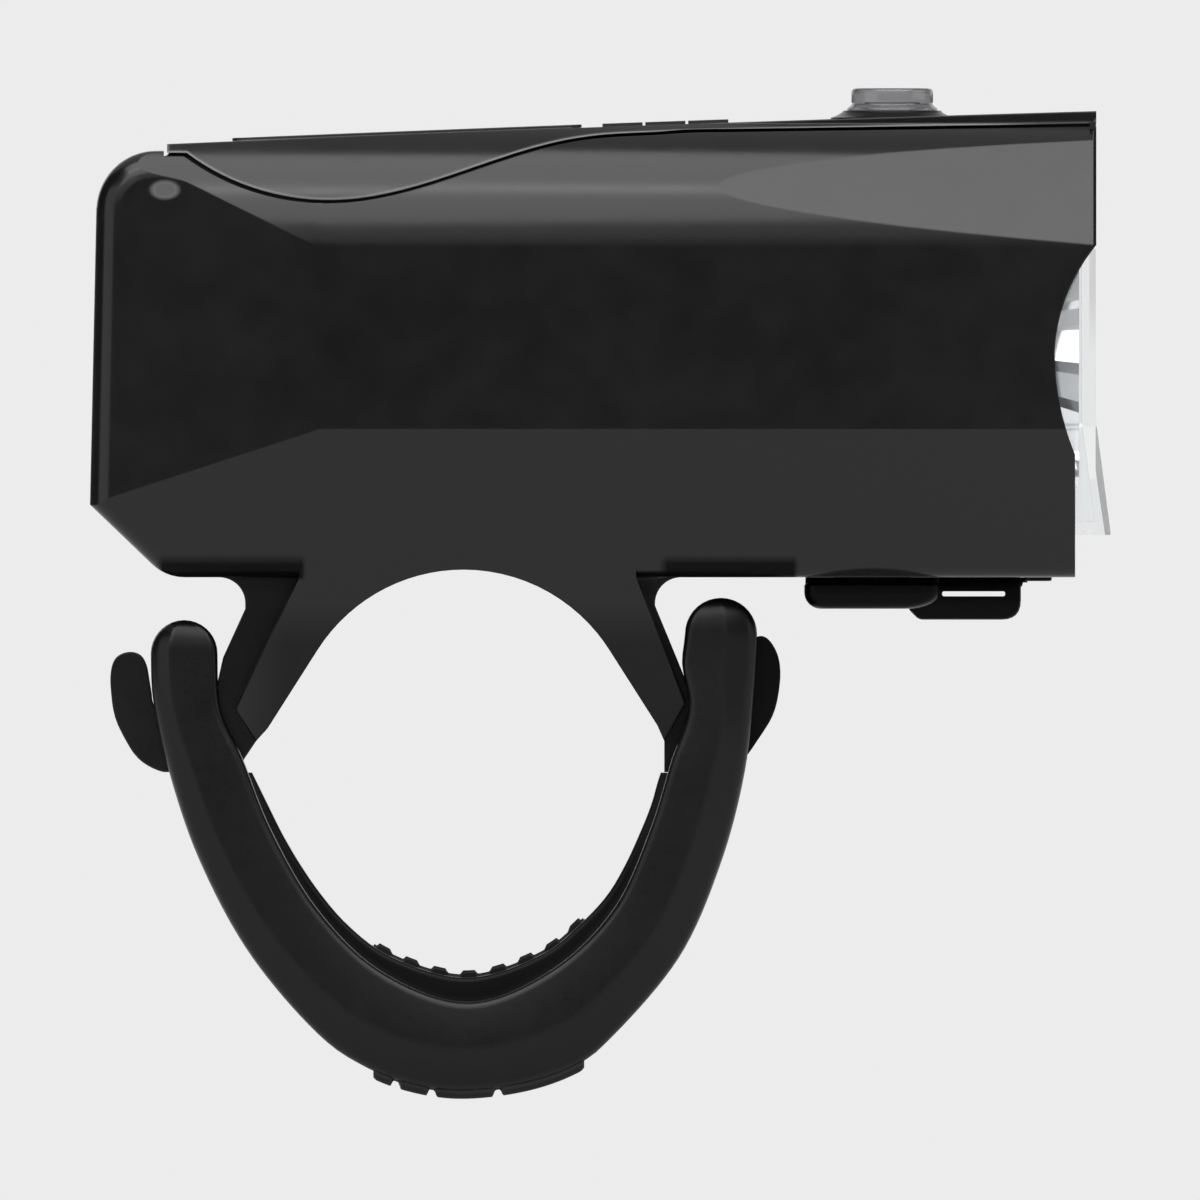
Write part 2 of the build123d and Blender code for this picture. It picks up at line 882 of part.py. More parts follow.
# Level window: one clear moulding of three bars, each with a leg that brings the light up from its lamp
indicator_top = top_board_top + indicator_height
window_low = crest_z(window_rear) - cover_depth - window_seat_gap
with BuildPart() as level_window:
    with BuildSketch(Plane.XY.offset(window_low)):
        with Locations((window_mid, 0)):
            Rectangle(window_span, window_width)
    extrude(amount=cover_depth + overrun)
    add(Pos(0, 0, window_proud) * outer_form, mode=Mode.INTERSECT)
    with BuildSketch(Plane.XY.offset(crest_z(window_rear))):
        with Locations(*[(x + window_pitch / 2, 0) for x in window_places[:-1]]):
            Rectangle(window_pitch - window_length, window_width + overrun)
    extrude(amount=overrun, mode=Mode.SUBTRACT)
    with BuildSketch(Plane.XY.offset(window_low)):
        with Locations((window_mid, 0)):
            Rectangle(window_span, window_width + 2 * window_flange)
    extrude(amount=-window_flange_thick)
    with BuildSketch(Plane.XY.offset(indicator_top + window_seat_gap)):
        with Locations(*[(x, 0) for x in window_places]):
            Rectangle(indicator_length, indicator_length)
    extrude(amount=window_low - indicator_top - window_seat_gap)

level_window.part.label = "level_window"
export_step(level_window.part, "parts/level_window.step")

# Rubber boot round the button, a cone that stands on the cover
boot_top = button_deck + boot_height
with BuildPart() as button_boot:
    with BuildSketch(Plane.XZ):
        with BuildLine():
            Polyline(
                (button_x + button_stem_radius + button_play, boot_seat),
                (button_x + boot_base_radius, boot_seat),
                (button_x + boot_base_radius, button_deck),
                (button_x + boot_top_radius, boot_top - boot_rim_height),
                (button_x + boot_top_radius, boot_top),
                (button_x + button_stem_radius + button_play, boot_top),
                close=True,
            )
        make_face()
    revolve(axis=Axis((button_x, 0, 0), (0, 0, 1)))

button_boot.part.label = "button_boot"
export_step(button_boot.part, "parts/button_boot.step")

# Power button: cap, stem and the flange that keeps it under the cover
cap_low = boot_top + button_gap
cap_top = cap_low + button_cap_height
switch_top = top_board_top + switch_height
plunger_top = switch_top + button_travel + button_side_pip
flange_top = button_deck - cover_depth - button_play
with BuildPart() as power_button:
    with BuildSketch(Plane.XZ) as button_side:
        with BuildLine():
            Polyline(
                (button_x, plunger_top),
                (button_x + button_stem_radius, plunger_top),
                (button_x + button_stem_radius, flange_top - retainer_thick),
                (button_x + retainer_radius, flange_top - retainer_thick),
                (button_x + retainer_radius, flange_top),
                (button_x + button_stem_radius, flange_top),
                (button_x + button_stem_radius, cap_low),
                (button_x + button_cap_radius, cap_low),
                (button_x + button_cap_radius, cap_top),
                (button_x, cap_top),
                close=True,
            )
        make_face()
        rim = button_side.vertices().sort_by_distance((button_x + button_cap_radius, cap_top))[0]
        fillet(rim, radius=button_cap_round)
    revolve(axis=Axis((button_x, 0, 0), (0, 0, 1)))

power_button.part.label = "power_button"
export_step(power_button.part, "parts/power_button.step")

with BuildPart() as switch_plunger:
    with BuildSketch(Plane.XY.offset(plunger_top)):
        with Locations((button_x, 0)):
            Circle(plunger_radius)
    extrude(amount=-(plunger_top - switch_top + button_side_pip))

switch_plunger.part.label = "switch_plunger"
export_step(switch_plunger.part, "parts/switch_plunger.step")

with BuildPart() as tact_switch:
    with BuildSketch(Plane.XY.offset(top_board_top)):
        with Locations((button_x, 0)):
            Rectangle(switch_size, switch_size)
    extrude(amount=switch_height)
    with BuildSketch(Plane.XY.offset(switch_top)):
        with Locations((button_x, 0)):
            Circle(plunger_radius + screw_play)
    extrude(amount=-(button_side_pip + button_travel + button_play), mode=Mode.SUBTRACT)

tact_switch.part.label = "tact_switch"
export_step(tact_switch.part, "parts/tact_switch.step")

# Board that carries the switch and the level lamps
with BuildPart() as top_board:
    with BuildSketch(Plane.XY.offset(top_board_top)):
        with Locations(((top_board_rear + top_board_front) / 2, 0)):
            RectangleRounded(top_board_front - top_board_rear, 2 * top_board_half_width, top_board_corner)
        with Locations(*boss_places):
            Circle(screw_radius + screw_play, mode=Mode.SUBTRACT)
    extrude(amount=-top_board_thick)

top_board.part.label = "top_board"
export_step(top_board.part, "parts/top_board.step")

with BuildPart() as level_lamps:
    with BuildSketch(Plane.XY.offset(top_board_top)):
        with Locations(*[(x, 0) for x in window_places]):
            Rectangle(indicator_length, indicator_width)
    extrude(amount=indicator_height)

level_lamps.part.label = "level_lamps"
export_step(level_lamps.part, "parts/level_lamps.step")

# Screws that hold the small board to the cover from below
top_board_low = top_board_top - top_board_thick
with BuildPart() as top_board_screws:
    with BuildSketch(Plane.XY.offset(top_board_low)):
        with Locations(*boss_places):
            Circle(screw_head_radius)
    extrude(amount=-screw_head_height)
    with BuildSketch(Plane.XY.offset(top_board_low)):
        with Locations(*boss_places):
            Circle(screw_radius)
    extrude(amount=top_board_thick + screw_depth - screw_play)
    with BuildSketch(Plane.XY.offset(top_board_low - screw_head_height)):
        with Locations(*boss_places):
            Rectangle(2 * screw_radius, driver_slot_width)
            Rectangle(driver_slot_width, 2 * screw_radius)
    extrude(amount=driver_slot_depth, mode=Mode.SUBTRACT)

top_board_screws.part.label = "top_board_screws"
export_step(top_board_screws.part, "parts/top_board_screws.step")

# Battery cell, lying along the body
cell_z = underside + cell_height
cell_front = cell_rear + cell_length
cell_axis = Axis((0, 0, cell_z), (1, 0, 0))
with BuildPart() as battery_cell:
    with BuildSketch(Plane.XZ) as cell_side:
        with BuildLine():
            Polyline(
                (cell_rear, cell_z),
                (cell_rear, cell_z + cell_radius),
                (cell_front, cell_z + cell_radius),
                (cell_front, cell_z + cell_cap_radius),
                (cell_front + cell_cap_height, cell_z + cell_cap_radius),
                (cell_front + cell_cap_height, cell_z),
                close=True,
            )
        make_face()
        for x in (cell_rear, cell_front):
            can_edge = cell_side.vertices().sort_by_distance((x, cell_z + cell_radius))[0]
            fillet(can_edge, radius=cell_edge)
    revolve(axis=cell_axis)

battery_cell.part.label = "battery_cell"
export_step(battery_cell.part, "parts/battery_cell.step")

# Welded strips on both ends of the cell
tab_front_x = cell_front + cell_cap_height
with BuildPart() as battery_tabs:
    for x, run in ((cell_rear, -tab_thick), (tab_front_x, tab_thick)):
        with BuildSketch(Plane.YZ.offset(x)):
            with Locations((0, cell_z - tab_turn)):
                Rectangle(tab_width, 2 * tab_turn + 2 * cell_cap_radius)
        extrude(amount=run)

battery_tabs.part.label = "battery_tabs"
export_step(battery_tabs.part, "parts/battery_tabs.step")

# Tray: a trough for the cell on a base plate whose corners are screwed down
tray_length = tray_front - tray_rear
tray_half_width = board_hole_half_span + tray_wall
board_places = [
    (x, y)
    for x in (board_hole_rear, board_hole_front)
    for y in (board_hole_half_span, -board_hole_half_span)
]
with BuildPart() as battery_tray:
    with BuildSketch(Plane.YZ.offset(tray_rear)):
        with Locations((0, cell_z)):
            Circle(cell_radius + cell_play + tray_wall)
        with Locations((0, cell_z + cell_radius)):
            Rectangle(2 * side_half_width, 2 * cell_radius, mode=Mode.SUBTRACT)
    extrude(amount=tray_length)
    with BuildSketch(Plane.XY.offset(board_top)):
        with Locations(((tray_rear + tray_front) / 2, 0)):
            RectangleRounded(tray_length, 2 * tray_half_width, board_corner)
    extrude(amount=tray_wall)
    for n in range(tray_rib_count):
        rib_x = tray_rear + tray_length * (2 * n + 1) / (2 * tray_rib_count)
        with BuildSketch(Plane.YZ.offset(rib_x - tray_rib_thick / 2)):
            with BuildLine():
                Polyline(
                    (-tray_half_width, board_top),
                    (tray_half_width, board_top),
                    (tray_half_width, board_top + tray_wall),
                    (cell_radius + tray_wall, cell_z),
                    (-cell_radius - tray_wall, cell_z),
                    (-tray_half_width, board_top + tray_wall),
                    close=True,
                )
            make_face()
        extrude(amount=tray_rib_thick)
    with BuildSketch(Plane.YZ.offset(tray_rear - overrun)):
        with Locations((0, cell_z)):
            Circle(cell_radius + cell_play)
    extrude(amount=tray_length + 2 * overrun, mode=Mode.SUBTRACT)
    with BuildSketch(Plane.XY.offset(board_top - overrun)):
        with Locations(*board_places):
            Circle(screw_radius + screw_play)
    extrude(amount=cell_height + overrun, mode=Mode.SUBTRACT)

battery_tray.part.label = "battery_tray"
export_step(battery_tray.part, "parts/battery_tray.step")

# Charging and driver board on the floor posts
with BuildPart() as main_board:
    with BuildSketch(Plane.XY.offset(board_z)):
        with Locations(((board_rear + board_front) / 2, 0)):
            RectangleRounded(board_front - board_rear, 2 * board_half_width, board_corner)
        with Locations(*board_places):
            Circle(screw_radius + screw_play, mode=Mode.SUBTRACT)
    extrude(amount=board_thick)

main_board.part.label = "main_board"
export_step(main_board.part, "parts/main_board.step")

# Coil, capacitors and chips hanging from the board
with BuildPart() as board_parts:
    for (x, y), (length, width, height), is_round in board_chips:
        with BuildSketch(Plane.XY.offset(board_z)):
            with Locations((x, y)):
                if is_round:
                    Circle(length / 2)
                else:
                    Rectangle(length, width)
        extrude(amount=-height)

board_parts.part.label = "board_parts"
export_step(board_parts.part, "parts/board_parts.step")

# Screws through tray, board and into the floor posts
tray_screw_seat = board_top + tray_wall
with BuildPart() as tray_screws:
    with BuildSketch(Plane.XY.offset(tray_screw_seat)):
        with Locations(*board_places):
            Circle(screw_head_radius)
    extrude(amount=screw_head_height)
    with BuildSketch(Plane.XY.offset(tray_screw_seat)):
        with Locations(*board_places):
            Circle(screw_radius)
    extrude(amount=-(tray_wall + board_thick + screw_depth))
    with BuildSketch(Plane.XY.offset(tray_screw_seat + screw_head_height)):
        with Locations(*board_places):
            Rectangle(2 * screw_radius, driver_slot_width)
            Rectangle(driver_slot_width, 2 * screw_radius)
    extrude(amount=-driver_slot_depth, mode=Mode.SUBTRACT)

tray_screws.part.label = "tray_screws"
export_step(tray_screws.part, "parts/tray_screws.step")

# Charging socket: metal shell and the plastic core with its tongue
with BuildPart() as charge_socket:
    with BuildSketch(Plane.XY.offset(socket_mouth)):
        with Locations((socket_x, 0)):
            SlotOverall(socket_width, socket_thick, rotation=90)
            SlotOverall(
                socket_width - 2 * socket_shell,
                socket_thick - 2 * socket_shell,
                rotation=90,
                mode=Mode.SUBTRACT,
            )
    extrude(amount=socket_length)

charge_socket.part.label = "charge_socket"
export_step(charge_socket.part, "parts/charge_socket.step")

with BuildPart() as socket_core:
    with BuildSketch(Plane.XY.offset(board_z)):
        with Locations((socket_x, 0)):
            SlotOverall(
                socket_width - 2 * socket_shell - 2 * screw_play,
                socket_thick - 2 * socket_shell - 2 * screw_play,
                rotation=90,
            )
    extrude(amount=-socket_thick / 2)
    with BuildSketch(Plane.XY.offset(board_z)):
        with Locations((socket_x, 0)):
            Rectangle(socket_tongue_thick, socket_tongue_width)
    extrude(amount=-(socket_length - socket_tongue_setback))

socket_core.part.label = "socket_core"
export_step(socket_core.part, "parts/socket_core.step")

# Heat sink across the body behind the lamp
sink_low = underside + sink_low_height
sink_top = underside + sink_top_height
with BuildPart() as heat_sink:
    with BuildSketch(Plane.YZ.offset(sink_rear)):
        with Locations((0, (sink_low + sink_top) / 2)):
            Rectangle(2 * side_half_width, sink_top - sink_low)
    extrude(amount=sink_thick)
    add(sink_form, mode=Mode.INTERSECT)
    with BuildSketch(Plane.YZ.offset(sink_rear)):
        with Locations((0, (sink_low + sink_top) / 2)):
            with GridLocations(sink_fin_pitch, 0, sink_fin_count, 1):
                Rectangle(sink_fin_thick, sink_top - sink_low - 2 * sink_fin_pitch)
    extrude(amount=-sink_fin_depth)
    with BuildSketch(Plane.YZ.offset(sink_rear + sink_thick)):
        with Locations((lamp_screw_reach, beam_z), (-lamp_screw_reach, beam_z)):
            Circle(screw_radius + screw_play)
    extrude(amount=-sink_thick, mode=Mode.SUBTRACT)

heat_sink.part.label = "heat_sink"
export_step(heat_sink.part, "parts/heat_sink.step")

# Lamp board, its screws and the lamp itself
lamp_board_x = sink_rear + sink_thick
lamp_x = lamp_board_x + lamp_board_thick
with BuildPart() as lamp_board:
    with BuildSketch(Plane.YZ.offset(lamp_board_x)):
        with Locations((0, beam_z)):
            RectangleRounded(lamp_board_width, lamp_board_height, board_corner)
        with Locations((lamp_screw_reach, beam_z), (-lamp_screw_reach, beam_z)):
            Circle(screw_radius + screw_play, mode=Mode.SUBTRACT)
    extrude(amount=lamp_board_thick)

lamp_board.part.label = "lamp_board"
export_step(lamp_board.part, "parts/lamp_board.step")

with BuildPart() as lamp_screws:
    with BuildSketch(Plane.YZ.offset(lamp_x)):
        with Locations((lamp_screw_reach, beam_z), (-lamp_screw_reach, beam_z)):
            Circle(screw_head_radius)
    extrude(amount=screw_head_height)
    with BuildSketch(Plane.YZ.offset(lamp_x)):
        with Locations((lamp_screw_reach, beam_z), (-lamp_screw_reach, beam_z)):
            Circle(screw_radius)
    extrude(amount=-(lamp_board_thick + sink_thick))
    with BuildSketch(Plane.YZ.offset(lamp_x + screw_head_height)):
        with Locations((lamp_screw_reach, beam_z), (-lamp_screw_reach, beam_z)):
            Rectangle(2 * screw_radius, driver_slot_width)
            Rectangle(driver_slot_width, 2 * screw_radius)
    extrude(amount=-driver_slot_depth, mode=Mode.SUBTRACT)

lamp_screws.part.label = "lamp_screws"
export_step(lamp_screws.part, "parts/lamp_screws.step")

with BuildPart() as lamp_chip:
    with BuildSketch(Plane.YZ.offset(lamp_x)):
        with Locations((0, beam_z)):
            Rectangle(lamp_size, lamp_size)
    extrude(amount=lamp_height)
    with BuildSketch(Plane.XZ):
        with BuildLine():
            dome = CenterArc((lamp_x + lamp_height, beam_z), lamp_dome_radius, 0, 90)
            Polyline(dome @ 1, (lamp_x + lamp_height, beam_z), dome @ 0)
        make_face()
    revolve(axis=Axis((0, 0, beam_z), (1, 0, 0)))

lamp_chip.part.label = "lamp_chip"
export_step(lamp_chip.part, "parts/lamp_chip.step")


def bowl_radius_at(x):
    # Radius of the reflector's parabola at x
    return reflector_mouth_radius * sqrt((x - reflector_apex_x) / (reflector_mouth_x - reflector_apex_x))


# Reflector: a parabola laid out in flat facets, with a flange as wide as the lens
with BuildPart() as above_lens:
    with BuildSketch(Plane.XY.offset(underside + lens_top_height - lens_wall - reflector_play)):
        Rectangle(2 * span + overrun, 2 * side_half_width)
    extrude(amount=body_height)

neck_radius = bowl_radius_at(reflector_neck_x)
mouth_run = reflector_mouth_x - reflector_neck_x
ring_places = [reflector_neck_x + mouth_run * n / reflector_rings for n in range(reflector_rings + 1)]
optic_axis = Axis((0, 0, beam_z), (1, 0, 0))
with BuildPart() as bowl_core:
    for x in ring_places:
        with BuildSketch(Plane.YZ.offset(x)):
            with Locations((0, beam_z)):
                RegularPolygon(bowl_radius_at(x), reflector_sides)
    loft(ruled=True)
    with BuildSketch(Plane.YZ.offset(lamp_x)):
        with Locations((0, beam_z)):
            RegularPolygon(neck_radius, reflector_sides)
    extrude(amount=reflector_neck_x - lamp_x)

with BuildPart() as reflector:
    with BuildSketch(Plane.XZ):
        with BuildLine():
            rise = Spline(*[(x, beam_z + bowl_radius_at(x) + reflector_wall) for x in ring_places])
            Polyline(
                rise @ 1,
                (reflector_mouth_x, beam_z),
                (lamp_x, beam_z),
                (lamp_x, beam_z + neck_radius + reflector_wall),
                rise @ 0,
            )
        make_face()
    revolve(axis=optic_axis)
    with BuildSketch(Plane.YZ.offset(reflector_mouth_x - reflector_flange)):
        with Locations((0, beam_z)):
            Rectangle(2 * side_half_width, 2 * body_height)
    flange_slab = extrude(amount=reflector_flange, mode=Mode.PRIVATE)
    add((flange_slab & flange_form) - above_lens.part)
    add(bowl_core.part, mode=Mode.SUBTRACT)

reflector.part.label = "reflector"
export_step(reflector.part, "parts/reflector.step")

# Clear bullet lens over the lamp, its dome just behind the front lens
dome_x = bullet_tip_x - bullet_radius
with BuildPart() as bullet_lens:
    with BuildSketch(Plane.XZ):
        with BuildLine():
            dome = CenterArc((dome_x, beam_z), bullet_radius, 0, 90)
            Polyline(
                dome @ 1,
                (lamp_x, beam_z + bullet_foot_radius),
                (lamp_x, beam_z + bullet_recess),
                (lamp_x + bullet_recess_depth, beam_z + bullet_recess),
                (lamp_x + bullet_recess_depth, beam_z),
                dome @ 0,
            )
        make_face()
    revolve(axis=optic_axis)

bullet_lens.part.label = "bullet_lens"
export_step(bullet_lens.part, "parts/bullet_lens.step")

# Front lens: a clear cap with a skirt inside the rim and a lip that juts out at the bottom
lens_face = body_front - lens_setback
lens_low = underside + lens_chin_height
lens_top = underside + lens_top_height
lens_break = underside + lens_break_height
skirt_front = body_front - chin_setback - rim_wall / 2
with BuildPart() as front_lens:
    with BuildSketch(Plane.XZ):
        with BuildLine():
            Polyline(
                (lens_rear, underside),
                (skirt_front, underside),
                (skirt_front, lens_low),
                (lens_face + lens_lip_reach, lens_low),
                (lens_face + lens_lip_reach, underside + lens_lip_height),
                (lens_face, lens_break),
                (lens_face, lens_top - lens_play),
                (lens_rear, lens_top - lens_play),
                close=True,
            )
        make_face()
    extrude(amount=side_half_width, both=True)
    add(lens_form, mode=Mode.INTERSECT)
    with BuildSketch(Plane.XZ):
        with BuildLine():
            Polyline(
                (lens_rear - overrun, underside),
                (skirt_front - lens_wall, underside),
                (skirt_front - lens_wall, lens_low + lens_wall),
                (lens_face + lens_lip_reach - lens_wall, lens_low + lens_wall),
                (lens_face - lens_face_thick, lens_break),
                (lens_face - lens_face_thick, lens_top - lens_wall),
                (lens_rear - overrun, lens_top - lens_wall),
                close=True,
            )
        make_face()
    hollow = extrude(amount=side_half_width, both=True, mode=Mode.PRIVATE)
    add(hollow & lens_bore_form, mode=Mode.SUBTRACT)

front_lens.part.label = "front_lens"
export_step(front_lens.part, "parts/front_lens.step")

# Seal between the lens and its seat in the housing
with BuildPart() as lens_gasket:
    with BuildSketch(Plane.YZ.offset(lens_seat)):
        with Locations((0, (underside + lens_top - lens_play) / 2)):
            Rectangle(2 * side_half_width, lens_top - lens_play - underside)
    extrude(amount=lens_rear - lens_seat)
    add(lens_form, mode=Mode.INTERSECT)
    with BuildSketch(Plane.YZ.offset(lens_seat)):
        with Locations((0, (underside + lens_top - lens_wall) / 2)):
            Rectangle(2 * side_half_width, lens_top - lens_wall - underside)
    hollow = extrude(amount=lens_rear - lens_seat, mode=Mode.PRIVATE)
    add(hollow & lens_bore_form, mode=Mode.SUBTRACT)

lens_gasket.part.label = "lens_gasket"
export_step(lens_gasket.part, "parts/lens_gasket.step")

# Port cover: pull pad, plug over the charging socket and the small loop in front of the pad
flap_pad_top = underside - flap_pad_top_gap
flap_loop_top = underside - flap_loop_top_gap
flap_loop_low = flap_loop_top - flap_loop_thick
with BuildPart() as port_cover:
    with BuildSketch(Plane.XY.offset(flap_pad_top - flap_pad_thick)):
        with Locations(((flap_rear + flap_pad_front) / 2, 0)):
            RectangleRounded(flap_pad_front - flap_rear, 2 * flap_pad_half_width, flap_round)
    extrude(amount=flap_pad_thick)
    pad_edges = port_cover.edges().group_by(Axis.Z)[0]
    fillet(pad_edges, radius=flap_corner)
    with BuildSketch(Plane.XZ) as loop_side:
        with BuildLine():
            Polyline(
                (flap_loop_rear, flap_loop_top),
                (flap_front, flap_loop_top),
                (flap_front, flap_loop_low),
                (flap_loop_rear + 2 * flap_loop_chamfer, flap_loop_low),
                (flap_loop_rear + flap_loop_chamfer, flap_loop_low + flap_loop_chamfer),
                (flap_loop_rear, flap_loop_low + flap_loop_chamfer),
                close=True,
            )
        make_face()
        nose = loop_side.vertices().sort_by_distance((flap_front, flap_loop_low))[0]
        fillet(nose, radius=flap_round)
    extrude(amount=flap_loop_half_width, both=True)
    with BuildSketch(Plane.XZ):
        with Locations(((flap_slot_rear + flap_slot_front) / 2, flap_loop_top - flap_slot_drop)):
            SlotOverall(flap_slot_front - flap_slot_rear, flap_slot_height)
    extrude(amount=flap_pad_half_width, both=True, mode=Mode.SUBTRACT)
    with BuildSketch(Plane.XY.offset(flap_pad_top)):
        with Locations((socket_x, 0)):
            SlotOverall(pocket_width - 2 * flap_plug_play, pocket_length - 2 * flap_plug_play, rotation=90)
    extrude(amount=flap_plug_height)

port_cover.part.label = "port_cover"
export_step(port_cover.part, "parts/port_cover.step")

# Fixed end of the port cover: a thin plate let into the housing, with a short stem
with BuildPart() as port_cover_anchor:
    with BuildSketch(Plane.XY.offset(underside + anchor_recess)):
        with Locations((anchor_mid, 0)):
            Rectangle(anchor_front - anchor_rear, 2 * anchor_half_width)
    extrude(amount=-anchor_thick)
    with BuildSketch(Plane.XY.offset(underside + anchor_recess)):
        with Locations((anchor_mid, 0)):
            Circle(anchor_stem_radius)
    extrude(amount=anchor_stem_height)

port_cover_anchor.part.label = "port_cover_anchor"
export_step(port_cover_anchor.part, "parts/port_cover_anchor.step")

# Strap, drawn by shares of half the distance between its crossbars and of its drop
strap_mid_x = (front_bowl_reach - rear_bowl_reach) / 2
strap_half_length = (front_bowl_reach + rear_bowl_reach) / 2
strap_top_z = (front_bowl_z + rear_bowl_z) / 2


def strap_line(shares, spread_share):
    # The points of one curve of the strap's side view, spread from the middle of its top
    reach = strap_half_length * spread_share
    fall = strap_drop * spread_share
    return [(strap_mid_x + run * reach, strap_top_z - drop * fall) for run, drop in shares]


outer_points = strap_line(strap_outer_shares, 1)
rail_points = strap_line(rail_inner_shares, 1)
web_points = strap_line(web_inner_shares, 1)
web_outer_points = strap_line(strap_outer_shares, web_spread_share)
pad_outer_points = strap_line(strap_outer_shares, pad_spread_share)
grip_points = strap_line(web_inner_shares, grip_spread_share)
rear_end_radius = (rail_points[-1][0] - outer_points[0][0]) / 2
front_end_radius = (outer_points[-1][0] - rail_points[0][0]) / 2
rear_end = (outer_points[0][0] + rear_end_radius, outer_points[0][1] + rear_end_radius)
front_end = (rail_points[0][0] + front_end_radius, rail_points[0][1] + front_end_radius)
web_top = web_points[0][1]
split_z = strap_top_z - split_share * strap_drop

with BuildPart() as strap_rails:
    with BuildSketch(Plane.XZ):
        with BuildLine():
            outside = Spline(*outer_points, tangents=[(0, -1), (0, 1)], tangent_scalars=end_pulls)
            ThreePointArc(outside @ 1, front_end, rail_points[0])
            inside = Spline(*rail_points, tangents=[(0, -1), (0, 1)], tangent_scalars=end_pulls)
            ThreePointArc(inside @ 1, rear_end, outside @ 0)
        make_face()
    extrude(amount=strap_half_width, both=True)
    fillet(strap_rails.faces().sort_by(Axis.Y)[-1].edges(), radius=strap_edge_radius)
    fillet(strap_rails.faces().sort_by(Axis.Y)[0].edges(), radius=strap_edge_radius)
    with BuildSketch(Plane.XZ):
        Rectangle(2 * span, 2 * span)
    extrude(amount=rail_inner_half, both=True, mode=Mode.SUBTRACT)

with BuildPart() as strap_form:
    add(strap_rails.part)
    # Web between the rails, set back from their outer edge
    with BuildSketch(Plane.XZ):
        with BuildLine():
            outside = Spline(*web_outer_points, tangents=[(0, -1), (0, 1)], tangent_scalars=end_pulls)
            Line(outside @ 1, outside @ 0)
        make_face()
        with BuildLine():
            inside = Spline(*web_points)
            Line(inside @ 1, inside @ 0)
        make_face(mode=Mode.SUBTRACT)
        with Locations((strap_mid_x, web_top + span)):
            Rectangle(2 * span, 2 * span, mode=Mode.SUBTRACT)
    extrude(amount=rail_inner_half + strap_edge_radius / 2, both=True)
    # Pad under the belly with three grooves across it
    with BuildSketch(Plane.XZ):
        with BuildLine():
            outside = Spline(*pad_outer_points, tangents=[(0, -1), (0, 1)], tangent_scalars=end_pulls)
            Line(outside @ 1, outside @ 0)
        make_face()
        with Locations(((pad_rear + pad_front) / 2, split_z - span / 2)):
            Rectangle(pad_front - pad_rear, span, mode=Mode.INTERSECT)
        with BuildLine():
            outside = Spline(*web_outer_points, tangents=[(0, -1), (0, 1)], tangent_scalars=end_pulls)
            Line(outside @ 1, outside @ 0)
        make_face(mode=Mode.SUBTRACT)
        for share in pad_groove_shares:
            groove_x = pad_rear + share * (pad_front - pad_rear)
            with Locations((groove_x, min(z for x, z in pad_outer_points))):
                Rectangle(pad_groove, 2 * pad_groove_depth, mode=Mode.SUBTRACT)
    extrude(amount=strap_half_width - 2 * strap_edge_radius, both=True)
    # Grip pad inside the belly, with ribs along the handlebar
    with BuildSketch(Plane.XZ):
        with BuildLine():
            outside = Spline(*web_outer_points, tangents=[(0, -1), (0, 1)], tangent_scalars=end_pulls)
            Line(outside @ 1, outside @ 0)
        make_face()
        with Locations(((pad_rear + pad_front) / 2, split_z - span / 2)):
            Rectangle(pad_front - pad_rear, span, mode=Mode.INTERSECT)
        with BuildLine():
            inside = Spline(*grip_points)
            Line(inside @ 1, inside @ 0)
        make_face(mode=Mode.SUBTRACT)
        for n in range(grip_rib_count):
            share = grip_start_share + (grip_end_share - grip_start_share) * n / (grip_rib_count - 1)
            spot = inside @ share
            lean = inside.tangent_angle_at(share)
            with Locations(Location((spot.X, spot.Y, 0), (0, 0, lean))):
                Rectangle(grip_rib_width, 2 * grip_rib_proud)
    extrude(amount=rail_inner_half - strap_edge_radius, both=True)
    # Crossbars that rest in the hooks
    with BuildSketch(Plane.XZ):
        with Locations((-rear_bowl_reach, rear_bowl_z), (front_bowl_reach, front_bowl_z)):
            Circle(crossbar_radius)
    extrude(amount=strap_half_width - 2 * strap_edge_radius, both=True)

# The strap in three: a loop for each hook, and the belly that is pulled down
belly_cut = Plane.XY.offset(split_z)
middle_cut = Plane.YZ.offset(strap_mid_x)

with BuildPart() as strap_rear_loop:
    add(strap_form.part)
    split(bisect_by=belly_cut, keep=Keep.TOP)
    split(bisect_by=middle_cut, keep=Keep.BOTTOM)

strap_rear_loop.part.label = "strap_rear_loop"
export_step(strap_rear_loop.part, "parts/strap_rear_loop.step")

with BuildPart() as strap_front_loop:
    add(strap_form.part)
    split(bisect_by=belly_cut, keep=Keep.TOP)
    split(bisect_by=middle_cut, keep=Keep.TOP)

strap_front_loop.part.label = "strap_front_loop"
export_step(strap_front_loop.part, "parts/strap_front_loop.step")

with BuildPart() as strap_belly:
    add(strap_form.part)
    split(bisect_by=belly_cut, keep=Keep.BOTTOM)

strap_belly.part.label = "strap_belly"
export_step(strap_belly.part, "parts/strap_belly.step")

# Lead from the rear strip of the cell to the back of the floor board
with BuildPart() as rear_lead:
    lead_x = cell_rear - tab_thick - lead_radius
    lead_z = board_z - lead_radius
    with BuildLine(Plane.XZ.offset(lead_reach)) as route:
        fall = Line((lead_x, lead_z + lead_turn + tab_turn), (lead_x, lead_z + lead_turn))
        turn = TangentArc(fall @ 1, (lead_x + lead_turn, lead_z), tangent=fall % 1)
        Line(turn @ 1, (board_rear + lead_tuck, lead_z))
    with BuildSketch(Plane(origin=route.line @ 0, z_dir=route.line % 0)):
        Circle(lead_radius)
    sweep()

rear_lead.part.label = "rear_lead"
export_step(rear_lead.part, "parts/rear_lead.step")

